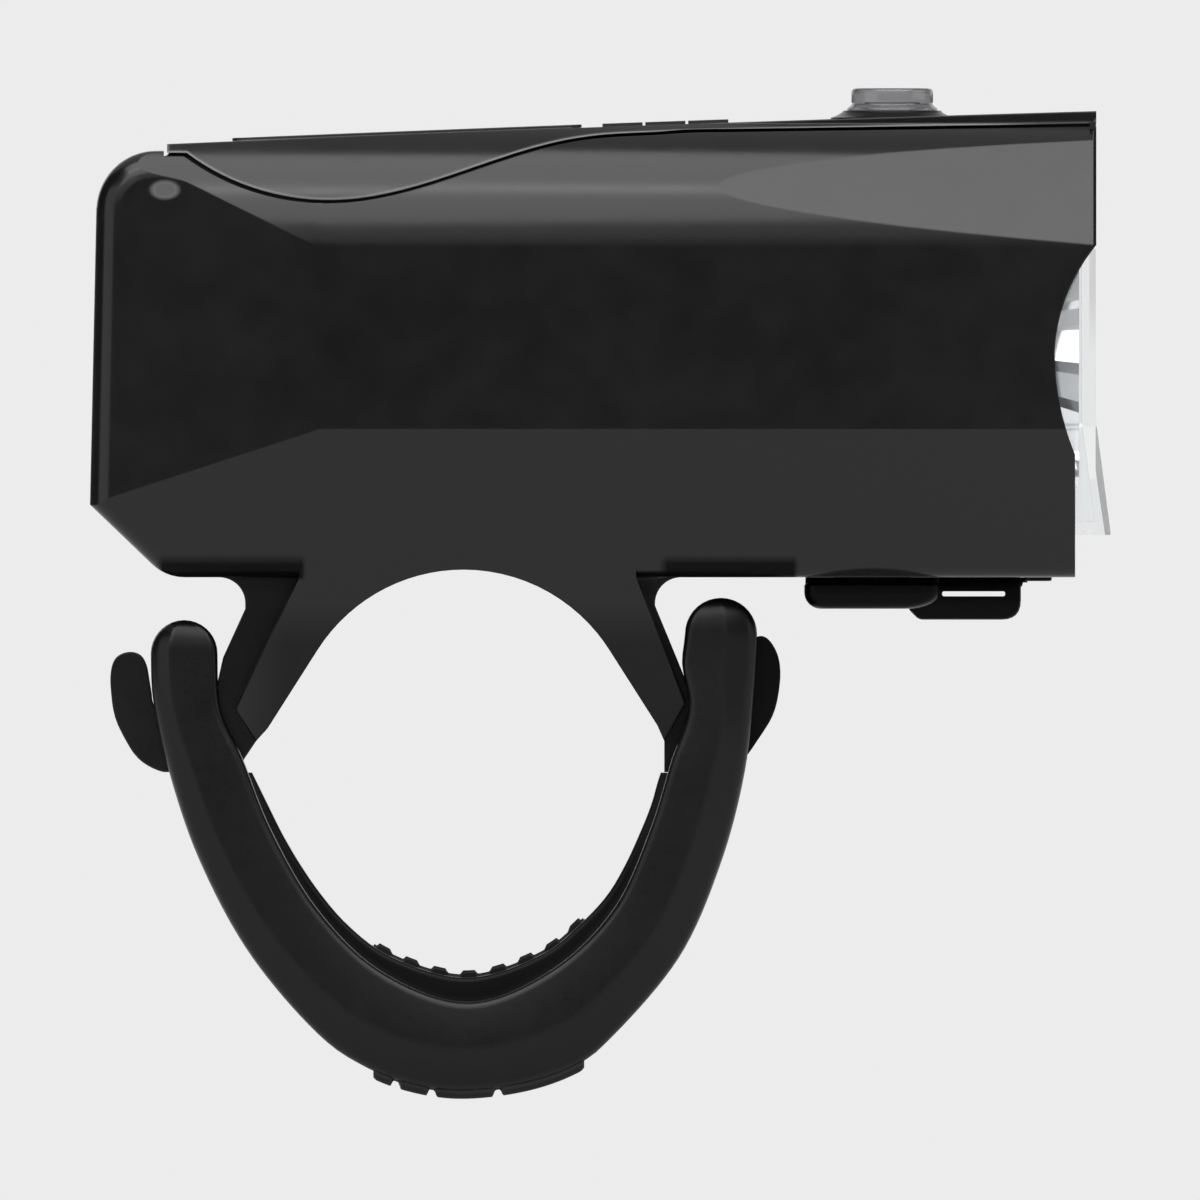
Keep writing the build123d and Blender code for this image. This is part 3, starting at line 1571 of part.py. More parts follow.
# Two leads from the floor board up to the lamp board
with BuildPart() as lamp_leads:
    for side_sign in (1, -1):
        with BuildLine(Plane.XZ.offset(-side_sign * lamp_lead_reach)) as route:
            climb = Line((lamp_x + lead_turn, board_top), (lamp_x + lead_turn, board_top + lamp_lead_climb))
            TangentArc(climb @ 1, (lamp_x, board_top + lamp_lead_climb + lead_turn), tangent=climb % 1)
        with BuildSketch(Plane(origin=route.line @ 0, z_dir=route.line % 0)):
            Circle(lead_radius)
        sweep()

lamp_leads.part.label = "lamp_leads"
export_step(lamp_leads.part, "parts/lamp_leads.step")

# Flat cable up the side, from the floor board to the board under the cover
with BuildPart() as flat_cable:
    with BuildSketch(Plane.YZ.offset(cable_x - cable_width / 2)):
        with BuildLine():
            low_out = (cable_y + cable_thick, board_top)
            rise_out = Line(low_out, (cable_y + cable_thick, top_board_low - cable_turn - cable_thick))
            bend_out = TangentArc(
                rise_out @ 1,
                (cable_y - cable_turn, top_board_low),
                tangent=(0, 1),
            )
            top_out = Line(bend_out @ 1, (cable_end, top_board_low))
            drop = Line(top_out @ 1, (cable_end, top_board_low - cable_thick))
            top_in = Line(drop @ 1, (cable_y - cable_turn, top_board_low - cable_thick))
            bend_in = TangentArc(
                top_in @ 1,
                (cable_y, top_board_low - cable_turn - cable_thick),
                tangent=(1, 0),
            )
            Polyline(bend_in @ 1, (cable_y, board_top), low_out)
        make_face()
    extrude(amount=cable_width)

flat_cable.part.label = "flat_cable"
export_step(flat_cable.part, "parts/flat_cable.step")
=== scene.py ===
import math

import bmesh
import bpy
from mathutils import Matrix, Vector


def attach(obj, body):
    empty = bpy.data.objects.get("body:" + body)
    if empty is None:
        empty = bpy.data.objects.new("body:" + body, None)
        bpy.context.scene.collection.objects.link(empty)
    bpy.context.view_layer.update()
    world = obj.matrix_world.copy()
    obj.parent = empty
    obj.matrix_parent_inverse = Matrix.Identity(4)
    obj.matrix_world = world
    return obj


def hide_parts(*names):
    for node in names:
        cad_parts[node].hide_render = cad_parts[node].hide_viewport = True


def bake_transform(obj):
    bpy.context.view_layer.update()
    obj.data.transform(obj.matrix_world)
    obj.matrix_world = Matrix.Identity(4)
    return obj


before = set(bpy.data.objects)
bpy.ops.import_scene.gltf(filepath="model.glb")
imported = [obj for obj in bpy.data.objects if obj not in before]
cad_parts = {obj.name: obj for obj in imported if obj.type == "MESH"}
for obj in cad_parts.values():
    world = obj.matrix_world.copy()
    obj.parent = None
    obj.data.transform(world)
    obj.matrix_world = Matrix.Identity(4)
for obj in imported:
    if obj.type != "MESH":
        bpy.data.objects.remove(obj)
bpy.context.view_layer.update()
mm = 0.001


# A number travelling through a material, so shader sums read as plain sums
class Signal:
    def __init__(self, tree, socket):
        self.tree = tree
        self.socket = socket

    def joined(self, operation, other=0.0, swapped=False):
        node = self.tree.nodes.new("ShaderNodeMath")
        node.operation = operation
        pair = (other, self) if swapped else (self, other)
        for place, value in zip(node.inputs, pair):
            if isinstance(value, Signal):
                self.tree.links.new(value.socket, place)
            else:
                place.default_value = value
        return Signal(self.tree, node.outputs[0])

    def __add__(self, other):
        return self.joined("ADD", other)

    def __sub__(self, other):
        return self.joined("SUBTRACT", other)

    def __mul__(self, other):
        return self.joined("MULTIPLY", other)

    def __pow__(self, other):
        return self.joined("POWER", other)

    def __rsub__(self, other):
        return self.joined("SUBTRACT", other, swapped=True)

    __radd__ = __add__
    __rmul__ = __mul__

    def capped(self):
        return self.joined("MAXIMUM").joined("MINIMUM", 1.0)


# The nodes of one material, or of the world when that is given
class Finish:
    def __init__(self, name, world=None):
        self.owner = world or bpy.data.materials.new(name)
        self.owner.use_nodes = True
        self.tree = self.owner.node_tree
        self.tree.nodes.clear()
        self.output = self.tree.nodes.new("ShaderNodeOutputWorld" if world else "ShaderNodeOutputMaterial")

    # Any node: its settings first, then the values or links of its sockets
    def put(self, kind, settings=None, sockets=None, out=0):
        node = self.tree.nodes.new("ShaderNode" + kind)
        for key, value in (settings or {}).items():
            setattr(node, key, value)
        for key, value in (sockets or {}).items():
            place = node.inputs[key]
            if isinstance(value, Signal):
                self.tree.links.new(value.socket, place)
            else:
                place.default_value = value
        return Signal(self.tree, node.outputs[out])

    def surfaceTo(self, shader):
        self.tree.links.new(shader.socket, self.output.inputs["Surface"])
        return self.owner

    # Noise in the object's own space, drawn out along an axis where stretch says so
    def grain(self, scale, detail=3.0, rough=0.55, stretch=None):
        where = self.put("TexCoord", out="Object")
        if stretch:
            where = self.put("Mapping", sockets={"Vector": where, "Scale": stretch})
        sockets = {"Vector": where, "Scale": scale, "Detail": detail, "Roughness": rough}
        return self.put("TexNoise", sockets=sockets)

    def roundedNormal(self, radius):
        return self.put("Bevel", {"samples": 6}, {"Radius": radius})

    # 0 on flats, rising to 1 where the surface turns within the given radius
    def edges(self, radius, gain):
        rounded = self.roundedNormal(radius)
        plain = self.put("NewGeometry", out="Normal")
        agree = self.put("VectorMath", {"operation": "DOT_PRODUCT"}, {0: rounded, 1: plain}, out="Value")
        return ((1 - agree) * gain).capped()

    # Colours, given as tones or as signals, mixed by a factor
    def mixed(self, factor, low, high):
        low, high = (tone if isinstance(tone, Signal) else (*tone, 1) for tone in (low, high))
        return self.put("Mix", {"data_type": "RGBA"}, {0: factor, 6: low, 7: high}, out=2)

    # The same for directions
    def blended(self, factor, low, high):
        return self.put("Mix", {"data_type": "VECTOR"}, {0: factor, 4: low, 5: high}, out=1)

    # X, Y and Z of the place on the object, in millimetres
    def axes(self):
        spot = self.put("TexCoord", out="Object")
        return [self.put("SeparateXYZ", sockets={0: spot}, out=n) * (1 / mm) for n in range(3)]

    def facing(self):
        return self.put("LayerWeight", sockets={"Blend": 0.5}, out="Facing")

    # One principled surface; where the painted shade nears 1 it is mixed to a matt dark tone, shade painted
    # in as under an overhang
    def shade(self, paintedShade=None, shadeTone=(0.004, 0.004, 0.004), **sockets):
        names = {
            "color": "Base Color", "rough": "Roughness", "metal": "Metallic", "normal": "Normal",
            "ior": "IOR", "specular": "Specular IOR Level", "clear": "Transmission Weight",
            "coat": "Coat Weight", "coatRough": "Coat Roughness",
        }
        surface = self.put("BsdfPrincipled", sockets={names[key]: value for key, value in sockets.items()})
        if paintedShade:
            dark = self.put("BsdfDiffuse", sockets={"Color": (*shadeTone, 1)})
            surface = self.put("MixShader", sockets={0: paintedShade, 1: surface, 2: dark})
        return self.surfaceTo(surface)

    def bumped(self, height, depth, strength=1.0, normal=None):
        sockets = {"Height": height, "Distance": depth, "Strength": strength}
        if normal:
            sockets["Normal"] = normal
        return self.put("Bump", sockets=sockets)


# Soft forms that the body's flat faces leave out: each patch leans the light another way.
# Places are in millimetres, and a blend is how fast a patch comes in over one millimetre
patches = {
    "sideTop": 45.4, "shoulderRadius": 12.3,
    "wedgeFront": -13.2, "wedgeRear": -26.1, "wedgeSlope": 0.5, "wedgeEase": 0.5,
    "wedgeEdgeBlend": 5, "wedgeRearBlend": 2,
    "rimRear": 57.98, "rimLow": 40.0, "rimBlend": 12, "rimForward": 0.5, "rimForwardBlend": 4,
    "dimple": (-27.5, 50.9), "dimpleSize": (1.7, 1.1), "dimpleLean": (-0.25, 0.78, 0.57),
}


def leanedNormal(f, normal):
    p = patches
    x, y, z = f.axes()
    side = y.joined("SIGN")
    # Rear shoulder: rounded above a slanting line
    up = ((z - p["sideTop"]) * (1 / p["shoulderRadius"])).capped()
    above = z - p["sideTop"] + (x - p["wedgeFront"]) * p["wedgeSlope"]
    wedge = (above * p["wedgeEdgeBlend"]).capped() * (p["wedgeFront"] - x + p["wedgeEase"]).capped()
    wedge = wedge * ((x - p["wedgeRear"]) * p["wedgeRearBlend"]).capped()
    turned = f.put("CombineXYZ", sockets={0: 0.0, 1: side * (1 - up * up) ** 0.5, 2: up})
    normal = f.blended(wedge, normal, turned)
    # Front rim: its narrow edge reads as one flat with the side, but not where it looks forward
    flat = f.put("CombineXYZ", sockets={0: 0.0, 1: side, 2: 0.0})
    forward = f.put("SeparateXYZ", sockets={0: f.put("NewGeometry", out="Normal")}, out=0)
    rim = ((x - p["rimRear"]) * p["rimBlend"]).capped() * (z - p["rimLow"]).capped()
    rim = rim * ((p["rimForward"] - forward) * p["rimForwardBlend"]).capped()
    normal = f.blended(rim, normal, flat)
    # Shallow dimple near the rear edge
    runX = (x - p["dimple"][0]) * (1 / p["dimpleSize"][0])
    runZ = (z - p["dimple"][1]) * (1 / p["dimpleSize"][1])
    dimple = (1 - runX * runX - runZ * runZ).capped()
    leanX, leanY, leanZ = p["dimpleLean"]
    lean = f.put("CombineXYZ", sockets={0: leanX, 1: side * leanY, 2: leanZ})
    normal = f.blended(dimple * dimple * (3 - 2 * dimple), normal, lean)
    return f.put("VectorMath", {"operation": "NORMALIZE"}, {0: normal}, out="Vector")


# Painted shade under the body, dark patches that stand in for shadow: the ends of each in X and Z, how soft
# those four ends are, and how dark it gets. Two lie over the feet, one on the saddle's arms and one in the
# front hook
paintedShadePatches = (
    {"x": (-28.4, -14.5), "z": (14.9, 17.4), "softX": (0.7, 0.4), "softZ": (0.3, 1.0), "depth": 0.86},
    {"x": (18.0, 30.9), "z": (14.9, 17.3), "softX": (0.8, 0.5), "softZ": (0.3, 0.8), "depth": 0.86},
    {"x": (-20.5, 22.0), "z": (-9.0, 13.0), "softX": (4.0, 1.0), "softZ": (1.0, 4.0), "depth": 0.4},
    {"x": (24.0, 31.0), "z": (-4.0, 13.5), "softX": (0.5, 0.5), "softZ": (1.0, 1.0), "depth": 0.75},
)


def within(place, ends, soft):
    low, high = ends
    return ((place - low) * (1 / soft[0])).capped() * ((high - place) * (1 / soft[1])).capped()


def paintedShadeUnderBody(f):
    x, _, z = f.axes()
    total = 0.0
    for h in paintedShadePatches:
        total = within(x, h["x"], h["softX"]) * within(z, h["z"], h["softZ"]) * h["depth"] + total
    return total.capped()


# A line just under the cover's top edge, seen from the side: below it the cover's edges get a painted
# highlight
coverTop = {"low": 56.05, "slope": 0.0248, "blend": 5, "rimRadius": 0.0005, "rimGain": 6.0}


# Satin black moulding: spark-eroded texture, slightly polished along its edges
def mouldedPlastic(name, dark, light, rough, rim=None, leaned=False):
    f = Finish(name)
    broad = f.grain(35, 4)
    fine = f.grain(1400, 2, 0.6)
    skin = f.grain(260, 3)
    edge = f.edges(0.0005, 2.2) * broad * 0.5
    color = f.mixed((broad * 0.7 + edge * 0.6).capped(), dark, light)
    # painted highlight: with a rim tone, the cover's edges below that line are lightened
    if rim:
        x, _, z = f.axes()
        lower = ((x * coverTop["slope"] + coverTop["low"] - z) * coverTop["blend"]).capped()
        color = f.mixed(f.edges(coverTop["rimRadius"], coverTop["rimGain"]) * lower, color, rim)
    roughness = (rough + (skin - 0.5) * 0.1 + (broad - 0.5) * 0.08 - edge * 0.1).capped()
    rounded = f.roundedNormal(0.00022)
    if leaned:
        rounded = leanedNormal(f, rounded)
    normal = f.bumped(fine * 0.7 + skin * 0.3, 0.012 * mm, 0.5, rounded)
    # painted shade: the dark patches under the body, on the housing only
    paintedShade = paintedShadeUnderBody(f) if leaned else None
    return f.shade(paintedShade, color=color, rough=roughness, normal=normal, ior=1.46)


# Dull silicone: dust in the pores and a soft bloom. A web share is how much painted shade darkens the strap's
# sunk sides between the rails
strapWebShade = {"half": 6.8, "blend": 10, "sideways": 0.5, "sidewaysBlend": 4}


def mouldedRubber(name, dark, light, rough, rim=None, shine=0.5, web=0.0):
    f = Finish(name)
    cloud = f.grain(60, 5, 0.6)
    pores = f.grain(900, 3, 0.65)
    dust = (f.grain(420, 6, 0.7) - 0.58) * 5.0
    speck = dust.capped() * 0.35
    color = f.mixed((cloud * 0.6 + speck).capped(), dark, light)
    # painted highlight: with a rim tone, convex edges such as the rails' ridges are lightened
    if rim:
        color = f.mixed((f.edges(0.0007, 12.0) * (cloud * 2 - 0.4)).capped(), color, rim)
    roughness = (rough + (cloud - 0.5) * 0.16 + (pores - 0.5) * 0.1).capped()
    normal = f.bumped(pores, 0.02 * mm, 0.6)
    paintedShade = None
    # painted shade on the web's sideways faces between the rails
    if web:
        y = f.axes()[1].joined("ABSOLUTE")
        plain = f.put("NewGeometry", out="Normal")
        sideways = f.put("SeparateXYZ", sockets={0: plain}, out=1).joined("ABSOLUTE")
        sunk = ((strapWebShade["half"] - y) * strapWebShade["blend"]).capped()
        paintedShade = ((sideways - strapWebShade["sideways"]) * strapWebShade["sidewaysBlend"]).capped() * sunk * web
    return f.shade(paintedShade, color=color, rough=roughness, normal=normal, ior=1.4, specular=shine)


# Smoked moulding, with painted shade that darkens it along its edges and where it is seen on edge, when it
# has an edge share
def smokedPlastic(name, tone, clear, rough, edgeShadeShare=0.0):
    f = Finish(name)
    cloud = f.grain(90, 4)
    scuff = f.grain(700, 2, 0.5, stretch=(1, 6, 1))
    color = f.mixed(cloud, tuple(0.85 * t for t in tone), tone)
    # painted shade: a near-black outline
    if edgeShadeShare:
        outline = (f.facing() ** 6 * edgeShadeShare + f.edges(0.00025, 5.0)).capped()
        color = f.mixed(outline, color, (0.004, 0.004, 0.004))
    roughness = (rough + (scuff - 0.5) * 0.08).capped()
    normal = f.bumped(scuff, 0.004 * mm, 0.4)
    return f.shade(color=color, rough=roughness, normal=normal, clear=clear, ior=1.49)


# Clear moulding: a faint tint in the thick front plate and a painted dark line, painted shade where it is
# seen on edge
lensPlate = {
    "rear": 57.6, "rearBlend": 8, "low": 36.0, "lowBlend": 0.2, "depth": 0.8, "tone": (0.72, 0.72, 0.73),
}
lensEdgeShade = {"from": 0.94, "blend": 16, "depth": 0.75, "tone": (0.1, 0.1, 0.105)}


def clearPlastic(name, tone, rough):
    f = Finish(name)
    haze = f.grain(45, 3)
    smear = f.grain(300, 3, 0.5, stretch=(1, 1, 4))
    color = f.mixed(haze, tuple(0.97 * t for t in tone), tone)
    x, _, z = f.axes()
    plate = ((x - lensPlate["rear"]) * lensPlate["rearBlend"]).capped()
    plate = plate * ((z - lensPlate["low"]) * lensPlate["lowBlend"]).capped()
    color = f.mixed(plate * lensPlate["depth"], color, lensPlate["tone"])
    roughness = (rough + haze * 0.02 + (smear - 0.5) * 0.03).capped()
    normal = f.bumped(smear, 0.002 * mm, 0.3)
    # painted shade: a dark line where the lens is seen on edge
    outline = ((f.facing() - lensEdgeShade["from"]) * lensEdgeShade["blend"]).capped() * lensEdgeShade["depth"]
    shadeTone = lensEdgeShade["tone"]
    return f.shade(outline, shadeTone, color=color, rough=roughness, normal=normal, clear=1.0, ior=1.49)


# Plain metal with drawn or machined lines
def brightMetal(name, dark, light, rough, drawn):
    f = Finish(name)
    cloud = f.grain(120, 4)
    lines = f.grain(900, 3, 0.6, stretch=drawn)
    color = f.mixed((cloud * 0.6 + lines * 0.4).capped(), dark, light)
    roughness = (rough + (lines - 0.5) * 0.14 + (cloud - 0.5) * 0.08).capped()
    normal = f.bumped(lines, 0.004 * mm, 0.5)
    return f.shade(color=color, rough=roughness, metal=1.0, normal=normal)


# Mirror of flat facets, with painted reflection: those that lean down are painted darker, those that lean up
# lighter
mirror = {"leanGain": 2.2, "level": 0.55, "cloud": 0.3, "metal": 0.45}


def facetedMirror(name, low, high):
    f = Finish(name)
    normal = f.put("NewGeometry", out="Normal")
    lean = f.put("SeparateXYZ", sockets={0: normal}, out=2)
    cloud = f.grain(160, 3)
    # painted reflection: tone set by how far each facet leans up or down
    level = lean * mirror["leanGain"] + mirror["level"] + (cloud - 0.5) * mirror["cloud"]
    color = f.mixed(level.capped(), low, high)
    lines = f.grain(900, 2)
    roughness = (0.1 + (lines - 0.5) * 0.08).capped()
    normal = f.bumped(lines, 0.002 * mm, 0.4)
    return f.shade(color=color, rough=roughness, metal=mirror["metal"], normal=normal)


# Paint, solder mask, shrink wrap and jackets
def coatedSurface(name, dark, light, rough, coat=0.2, depth=0.006, scale=500):
    f = Finish(name)
    cloud = f.grain(140, 4)
    fine = f.grain(scale, 3)
    edge = f.edges(0.0002, 1.6)
    color = f.mixed((cloud * 0.8 + edge * 0.4).capped(), dark, light)
    roughness = (rough + (fine - 0.5) * 0.12).capped()
    normal = f.bumped(fine, depth * mm, 0.5)
    return f.shade(color=color, rough=roughness, normal=normal, coat=coat, coatRough=0.15)


# Resin over a lamp, with the grains of its phosphor
def lampResin(name, dark, light):
    f = Finish(name)
    cells = f.put("TexVoronoi", sockets={"Vector": f.put("TexCoord", out="Object"), "Scale": 2600})
    color = f.mixed(cells.capped(), light, dark)
    fine = f.grain(900, 2)
    normal = f.bumped(fine, 0.004 * mm, 0.4)
    return f.shade(color=color, rough=0.22 + (fine - 0.5) * 0.1, normal=normal)


print("materials")
finishes = {
    "housing_plastic": mouldedPlastic(
        "SatinBlackBody", (0.0018, 0.0018, 0.0021), (0.0042, 0.0042, 0.0047), 0.21, leaned=True),
    # Cover: rim is a painted highlight along its lower edges
    "cover_plastic": mouldedPlastic(
        "SatinBlackCover", (0.0018, 0.0018, 0.0021), (0.0045, 0.0045, 0.005), 0.2, rim=(0.13, 0.13, 0.135)),
    "seal_rubber": mouldedRubber(
        "SealRubber", (0.004, 0.004, 0.0045), (0.012, 0.012, 0.013), 0.6, shine=0.3),
    "window_plastic": smokedPlastic("SmokedWindow", (0.05, 0.05, 0.055), 0.55, 0.12),
    "smoked_plastic": smokedPlastic("SmokedButton", (0.3, 0.3, 0.315), 0.8, 0.1, 1.8),
    "soft_rubber": mouldedRubber(
        "BootRubber", (0.0012, 0.0012, 0.0015), (0.004, 0.004, 0.005), 0.3, shine=0.22),
    "flap_rubber": mouldedRubber(
        "FlapRubber", (0.0005, 0.0006, 0.0006), (0.0016, 0.0018, 0.0017), 0.3, shine=0.13),
    # Strap: rim is a painted highlight along the ridges, web is painted shade on the web's sunk sides
    "strap_rubber": mouldedRubber(
        "StrapRubber", (0.0012, 0.0012, 0.0015), (0.0036, 0.0036, 0.0042), 0.29,
        rim=(0.03, 0.03, 0.033), shine=0.43, web=0.7),
    "pin_plastic": coatedSurface("PinPlastic", (0.62, 0.62, 0.58), (0.76, 0.76, 0.72), 0.3),
    "switch_black": mouldedPlastic("SwitchBlack", (0.012, 0.012, 0.012), (0.03, 0.03, 0.03), 0.45),
    "board_green": coatedSurface("BoardGreen", (0.008, 0.07, 0.035), (0.02, 0.14, 0.07), 0.3, 0.5),
    "board_white": coatedSurface("BoardWhite", (0.66, 0.67, 0.66), (0.82, 0.83, 0.82), 0.32, 0.4),
    "lamp_amber": lampResin("AmberResin", (0.72, 0.5, 0.1), (0.92, 0.76, 0.3)),
    "lamp_yellow": lampResin("YellowResin", (0.75, 0.62, 0.08), (0.95, 0.88, 0.3)),
    "screw_steel": brightMetal("ScrewSteel", (0.36, 0.36, 0.37), (0.58, 0.58, 0.6), 0.32, (1, 1, 5)),
    "socket_steel": brightMetal("SocketSteel", (0.46, 0.46, 0.47), (0.66, 0.66, 0.68), 0.26, (6, 1, 1)),
    "nickel_strip": brightMetal("NickelStrip", (0.42, 0.41, 0.38), (0.62, 0.6, 0.56), 0.3, (1, 1, 6)),
    "cell_wrap": coatedSurface("CellWrap", (0.03, 0.12, 0.3), (0.06, 0.2, 0.42), 0.28, 0.5, 0.01, 240),
    "tray_plastic": mouldedPlastic("TrayPlastic", (0.02, 0.02, 0.022), (0.05, 0.05, 0.055), 0.42),
    "chip_black": coatedSurface("ChipBlack", (0.015, 0.015, 0.016), (0.04, 0.04, 0.042), 0.5, 0.0),
    "sink_aluminium": brightMetal("SinkAluminium", (0.5, 0.51, 0.53), (0.74, 0.75, 0.77), 0.34, (1, 8, 1)),
    "lead_red": coatedSurface("LeadRed", (0.34, 0.02, 0.016), (0.55, 0.05, 0.04), 0.4, 0.1),
    "lead_black": coatedSurface("LeadBlack", (0.01, 0.01, 0.01), (0.03, 0.03, 0.03), 0.4, 0.1),
    "cable_grey": coatedSurface("CableGrey", (0.32, 0.33, 0.35), (0.46, 0.47, 0.49), 0.45, 0.0),
    "bright_coating": facetedMirror("BrightCoating", (0.2, 0.2, 0.21), (0.96, 0.96, 0.97)),
    "clear_plastic": clearPlastic("ClearPlastic", (0.97, 0.985, 0.99), 0.02),
}
for name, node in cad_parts.items():
    for place in node.material_slots:
        place.material = finishes[place.material.name.split(".")[0]]


def inScene(name, data):
    thing = bpy.data.objects.new(name, data)
    bpy.context.scene.collection.objects.link(thing)
    return thing


# Meshes: rings of points skinned into closed skins, all written in millimetres
def newPiece(name, bm, finish, body=None, sharpAngle=38):
    bmesh.ops.recalc_face_normals(bm, faces=bm.faces)
    for face in bm.faces:
        face.smooth = True
    for edge in bm.edges:
        if len(edge.link_faces) == 2 and edge.calc_face_angle(0) > math.radians(sharpAngle):
            edge.smooth = False
    mesh = bpy.data.meshes.new(name)
    bm.to_mesh(mesh)
    bm.free()
    mesh.transform(Matrix.Scale(mm, 4))
    piece = inScene(name, mesh)
    mesh.materials.append(finishes[finish])
    if body:
        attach(piece, body)
    return piece


# Rings of equal length joined in order, closed at both ends by a fan
def skin(bm, rings, closedEnds=True, looped=False):
    rows = [[bm.verts.new(point) for point in ring] for ring in rings]
    count = len(rows[0])
    spans = list(zip(rows, rows[1:])) + ([(rows[-1], rows[0])] if looped else [])
    for near, far in spans:
        for i in range(count):
            j = (i + 1) % count
            bm.faces.new((near[i], near[j], far[j], far[i]))
    if closedEnds and not looped:
        for row in (rows[0], rows[-1]):
            middle = bm.verts.new(sum((vert.co for vert in row), Vector()) / count)
            for i in range(count):
                bm.faces.new((row[i], row[(i + 1) % count], middle))


# Corners of a flat outline turned into short arcs
def softened(corners, radii, steps=4):
    points = []
    count = len(corners)
    for i, corner in enumerate(corners):
        here = Vector(corner)
        radius = radii[i] if isinstance(radii, (list, tuple)) else radii
        if radius <= 0:
            points.append(here)
            continue
        back = Vector(corners[i - 1]) - here
        ahead = Vector(corners[(i + 1) % count]) - here
        cut = min(radius, back.length * 0.49, ahead.length * 0.49)
        start = here + back.normalized() * cut
        end = here + ahead.normalized() * cut
        for n in range(steps + 1):
            t = n / steps
            points.append(start * (1 - t) ** 2 + here * 2 * t * (1 - t) + end * t ** 2)
    return points


# Points spaced evenly along a smooth line (a centripetal spline) through the given ones
def smoothLine(points, count, firstWay, lastWay, steps=24):
    knots = [Vector(p) for p in points]
    first = knots[0] - Vector(firstWay) * (knots[1] - knots[0]).length
    last = knots[-1] + Vector(lastWay) * (knots[-1] - knots[-2]).length
    knots = [first] + knots + [last]
    dense = []
    for a, b, c, d in zip(knots, knots[1:], knots[2:], knots[3:]):
        ta = 0.0
        tb = ta + (b - a).length ** 0.5
        tc = tb + (c - b).length ** 0.5
        td = tc + (d - c).length ** 0.5
        for n in range(steps):
            t = tb + (tc - tb) * n / steps
            ab = a * ((tb - t) / (tb - ta)) + b * ((t - ta) / (tb - ta))
            bc = b * ((tc - t) / (tc - tb)) + c * ((t - tb) / (tc - tb))
            cd = c * ((td - t) / (td - tc)) + d * ((t - tc) / (td - tc))
            abc = ab * ((tc - t) / (tc - ta)) + bc * ((t - ta) / (tc - ta))
            bcd = bc * ((td - t) / (td - tb)) + cd * ((t - tb) / (td - tb))
            dense.append(abc * ((tc - t) / (tc - tb)) + bcd * ((t - tb) / (tc - tb)))
    dense.append(knots[-2])
    return evenly(dense, count)


def evenly(dense, count):
    reach = [0.0]
    for p, q in zip(dense, dense[1:]):
        reach.append(reach[-1] + (q - p).length)
    line = []
    i = 0
    for n in range(count):
        goal = reach[-1] * n / (count - 1)
        while i < len(dense) - 2 and reach[i + 1] < goal:
            i += 1
        share = (goal - reach[i]) / max(reach[i + 1] - reach[i], 1e-9)
        line.append(dense[i].lerp(dense[i + 1], min(max(share, 0), 1)))
    return line


# Strap: one silicone moulding of two rails, a web, a grip pad, a pull pad and two crossbars
strap = {
    "midX": -1.025, "topZ": 4.625, "halfLength": 24.775, "drop": 37.5,
    # Lines of the side view, as shares of halfLength and drop
    "outer": (
        (-1.121, -0.095), (-1.113, 0.019), (-1.049, 0.205), (-0.941, 0.412), (-0.748, 0.648),
        (-0.473, 0.856), (-0.343, 0.914), (-0.19, 0.957), (0.02, 0.98), (0.3, 0.957), (0.49, 0.906),
        (0.579, 0.857), (0.847, 0.648), (1.003, 0.412), (1.085, 0.205), (1.118, 0.03), (1.133, -0.143),
    ),
    "railInner": (
        (-0.873, -0.095), (-0.86, 0.043), (-0.786, 0.152), (-0.674, 0.337), (-0.499, 0.534),
        (-0.265, 0.684), (0.058, 0.76), (0.362, 0.684), (0.598, 0.533), (0.736, 0.336),
        (0.816, 0.165), (0.88, 0.035), (0.854, -0.07), (0.865, -0.143),
    ),
    "webInner": (
        (-0.744, 0.1975), (-0.685, 0.277), (-0.629, 0.351), (-0.563, 0.425), (-0.485, 0.499),
        (-0.388, 0.572), (-0.241, 0.645), (0.054, 0.701), (0.344, 0.64), (0.47, 0.573),
        (0.575, 0.499), (0.642, 0.425), (0.694, 0.351), (0.739, 0.277), (0.775, 0.1975),
    ),
    "fineSteps": 600,
    # Rails: five-sided, with a ridge that wanders forward and creases softest at the belly
    "railStations": 96, "railIn": 6.2, "railOut": 10.55, "ridgeRear": 0.28, "ridgeFront": 0.46,
    "outerDrop": 1.25, "innerDrop": 0.45, "footRadius": 0.35, "outerRadius": 1.1, "innerRadius": 0.8,
    "crease": 0.35, "bellyCrease": 1.3, "bellyPower": 6, "tipDepth": 0.35, "tipPower": 0.7,
    "capSteps": 9, "capTurn": 88.5,
    # Web between the rails, pull pad under it, grip pad inside it
    "webStations": 72, "webHalf": 6.6, "webSpread": 0.978, "webRadius": 0.5,
    "padStations": 150, "padSpread": 1.0195, "padHalf": 8.6, "padRear": -8.4, "padFront": 11.2,
    "padThick": 2.2, "padRadius": 0.7, "padEnd": 0.35,
    "grooves": (0.11, 0.28, 0.59), "grooveWidth": 0.7, "grooveDepth": 0.6, "grooveSlope": 0.24,
    "gripStations": 170, "gripSpread": 0.989, "gripHalf": 5.2, "gripThick": 2.4, "gripRadius": 0.35,
    "gripRibs": 8, "ribProud": 0.38, "ribHalfShare": 0.3, "ribSlopeShare": 0.1, "gripEnd": 0.25,
    # Crossbars that lie in the hooks, a little waisted
    "bars": ((-25.8, 4.45), (23.75, 4.8)), "barRadius": 2.55, "barHalf": 8.7, "barWaist": 0.12,
    "barStations": 24, "barSides": 32,
}


def strapPoints(shares, spread=1.0):
    s = strap
    reach, fall = s["halfLength"] * spread, s["drop"] * spread
    return [(s["midX"] + run * reach, 0, s["topZ"] - low * fall) for run, low in shares]


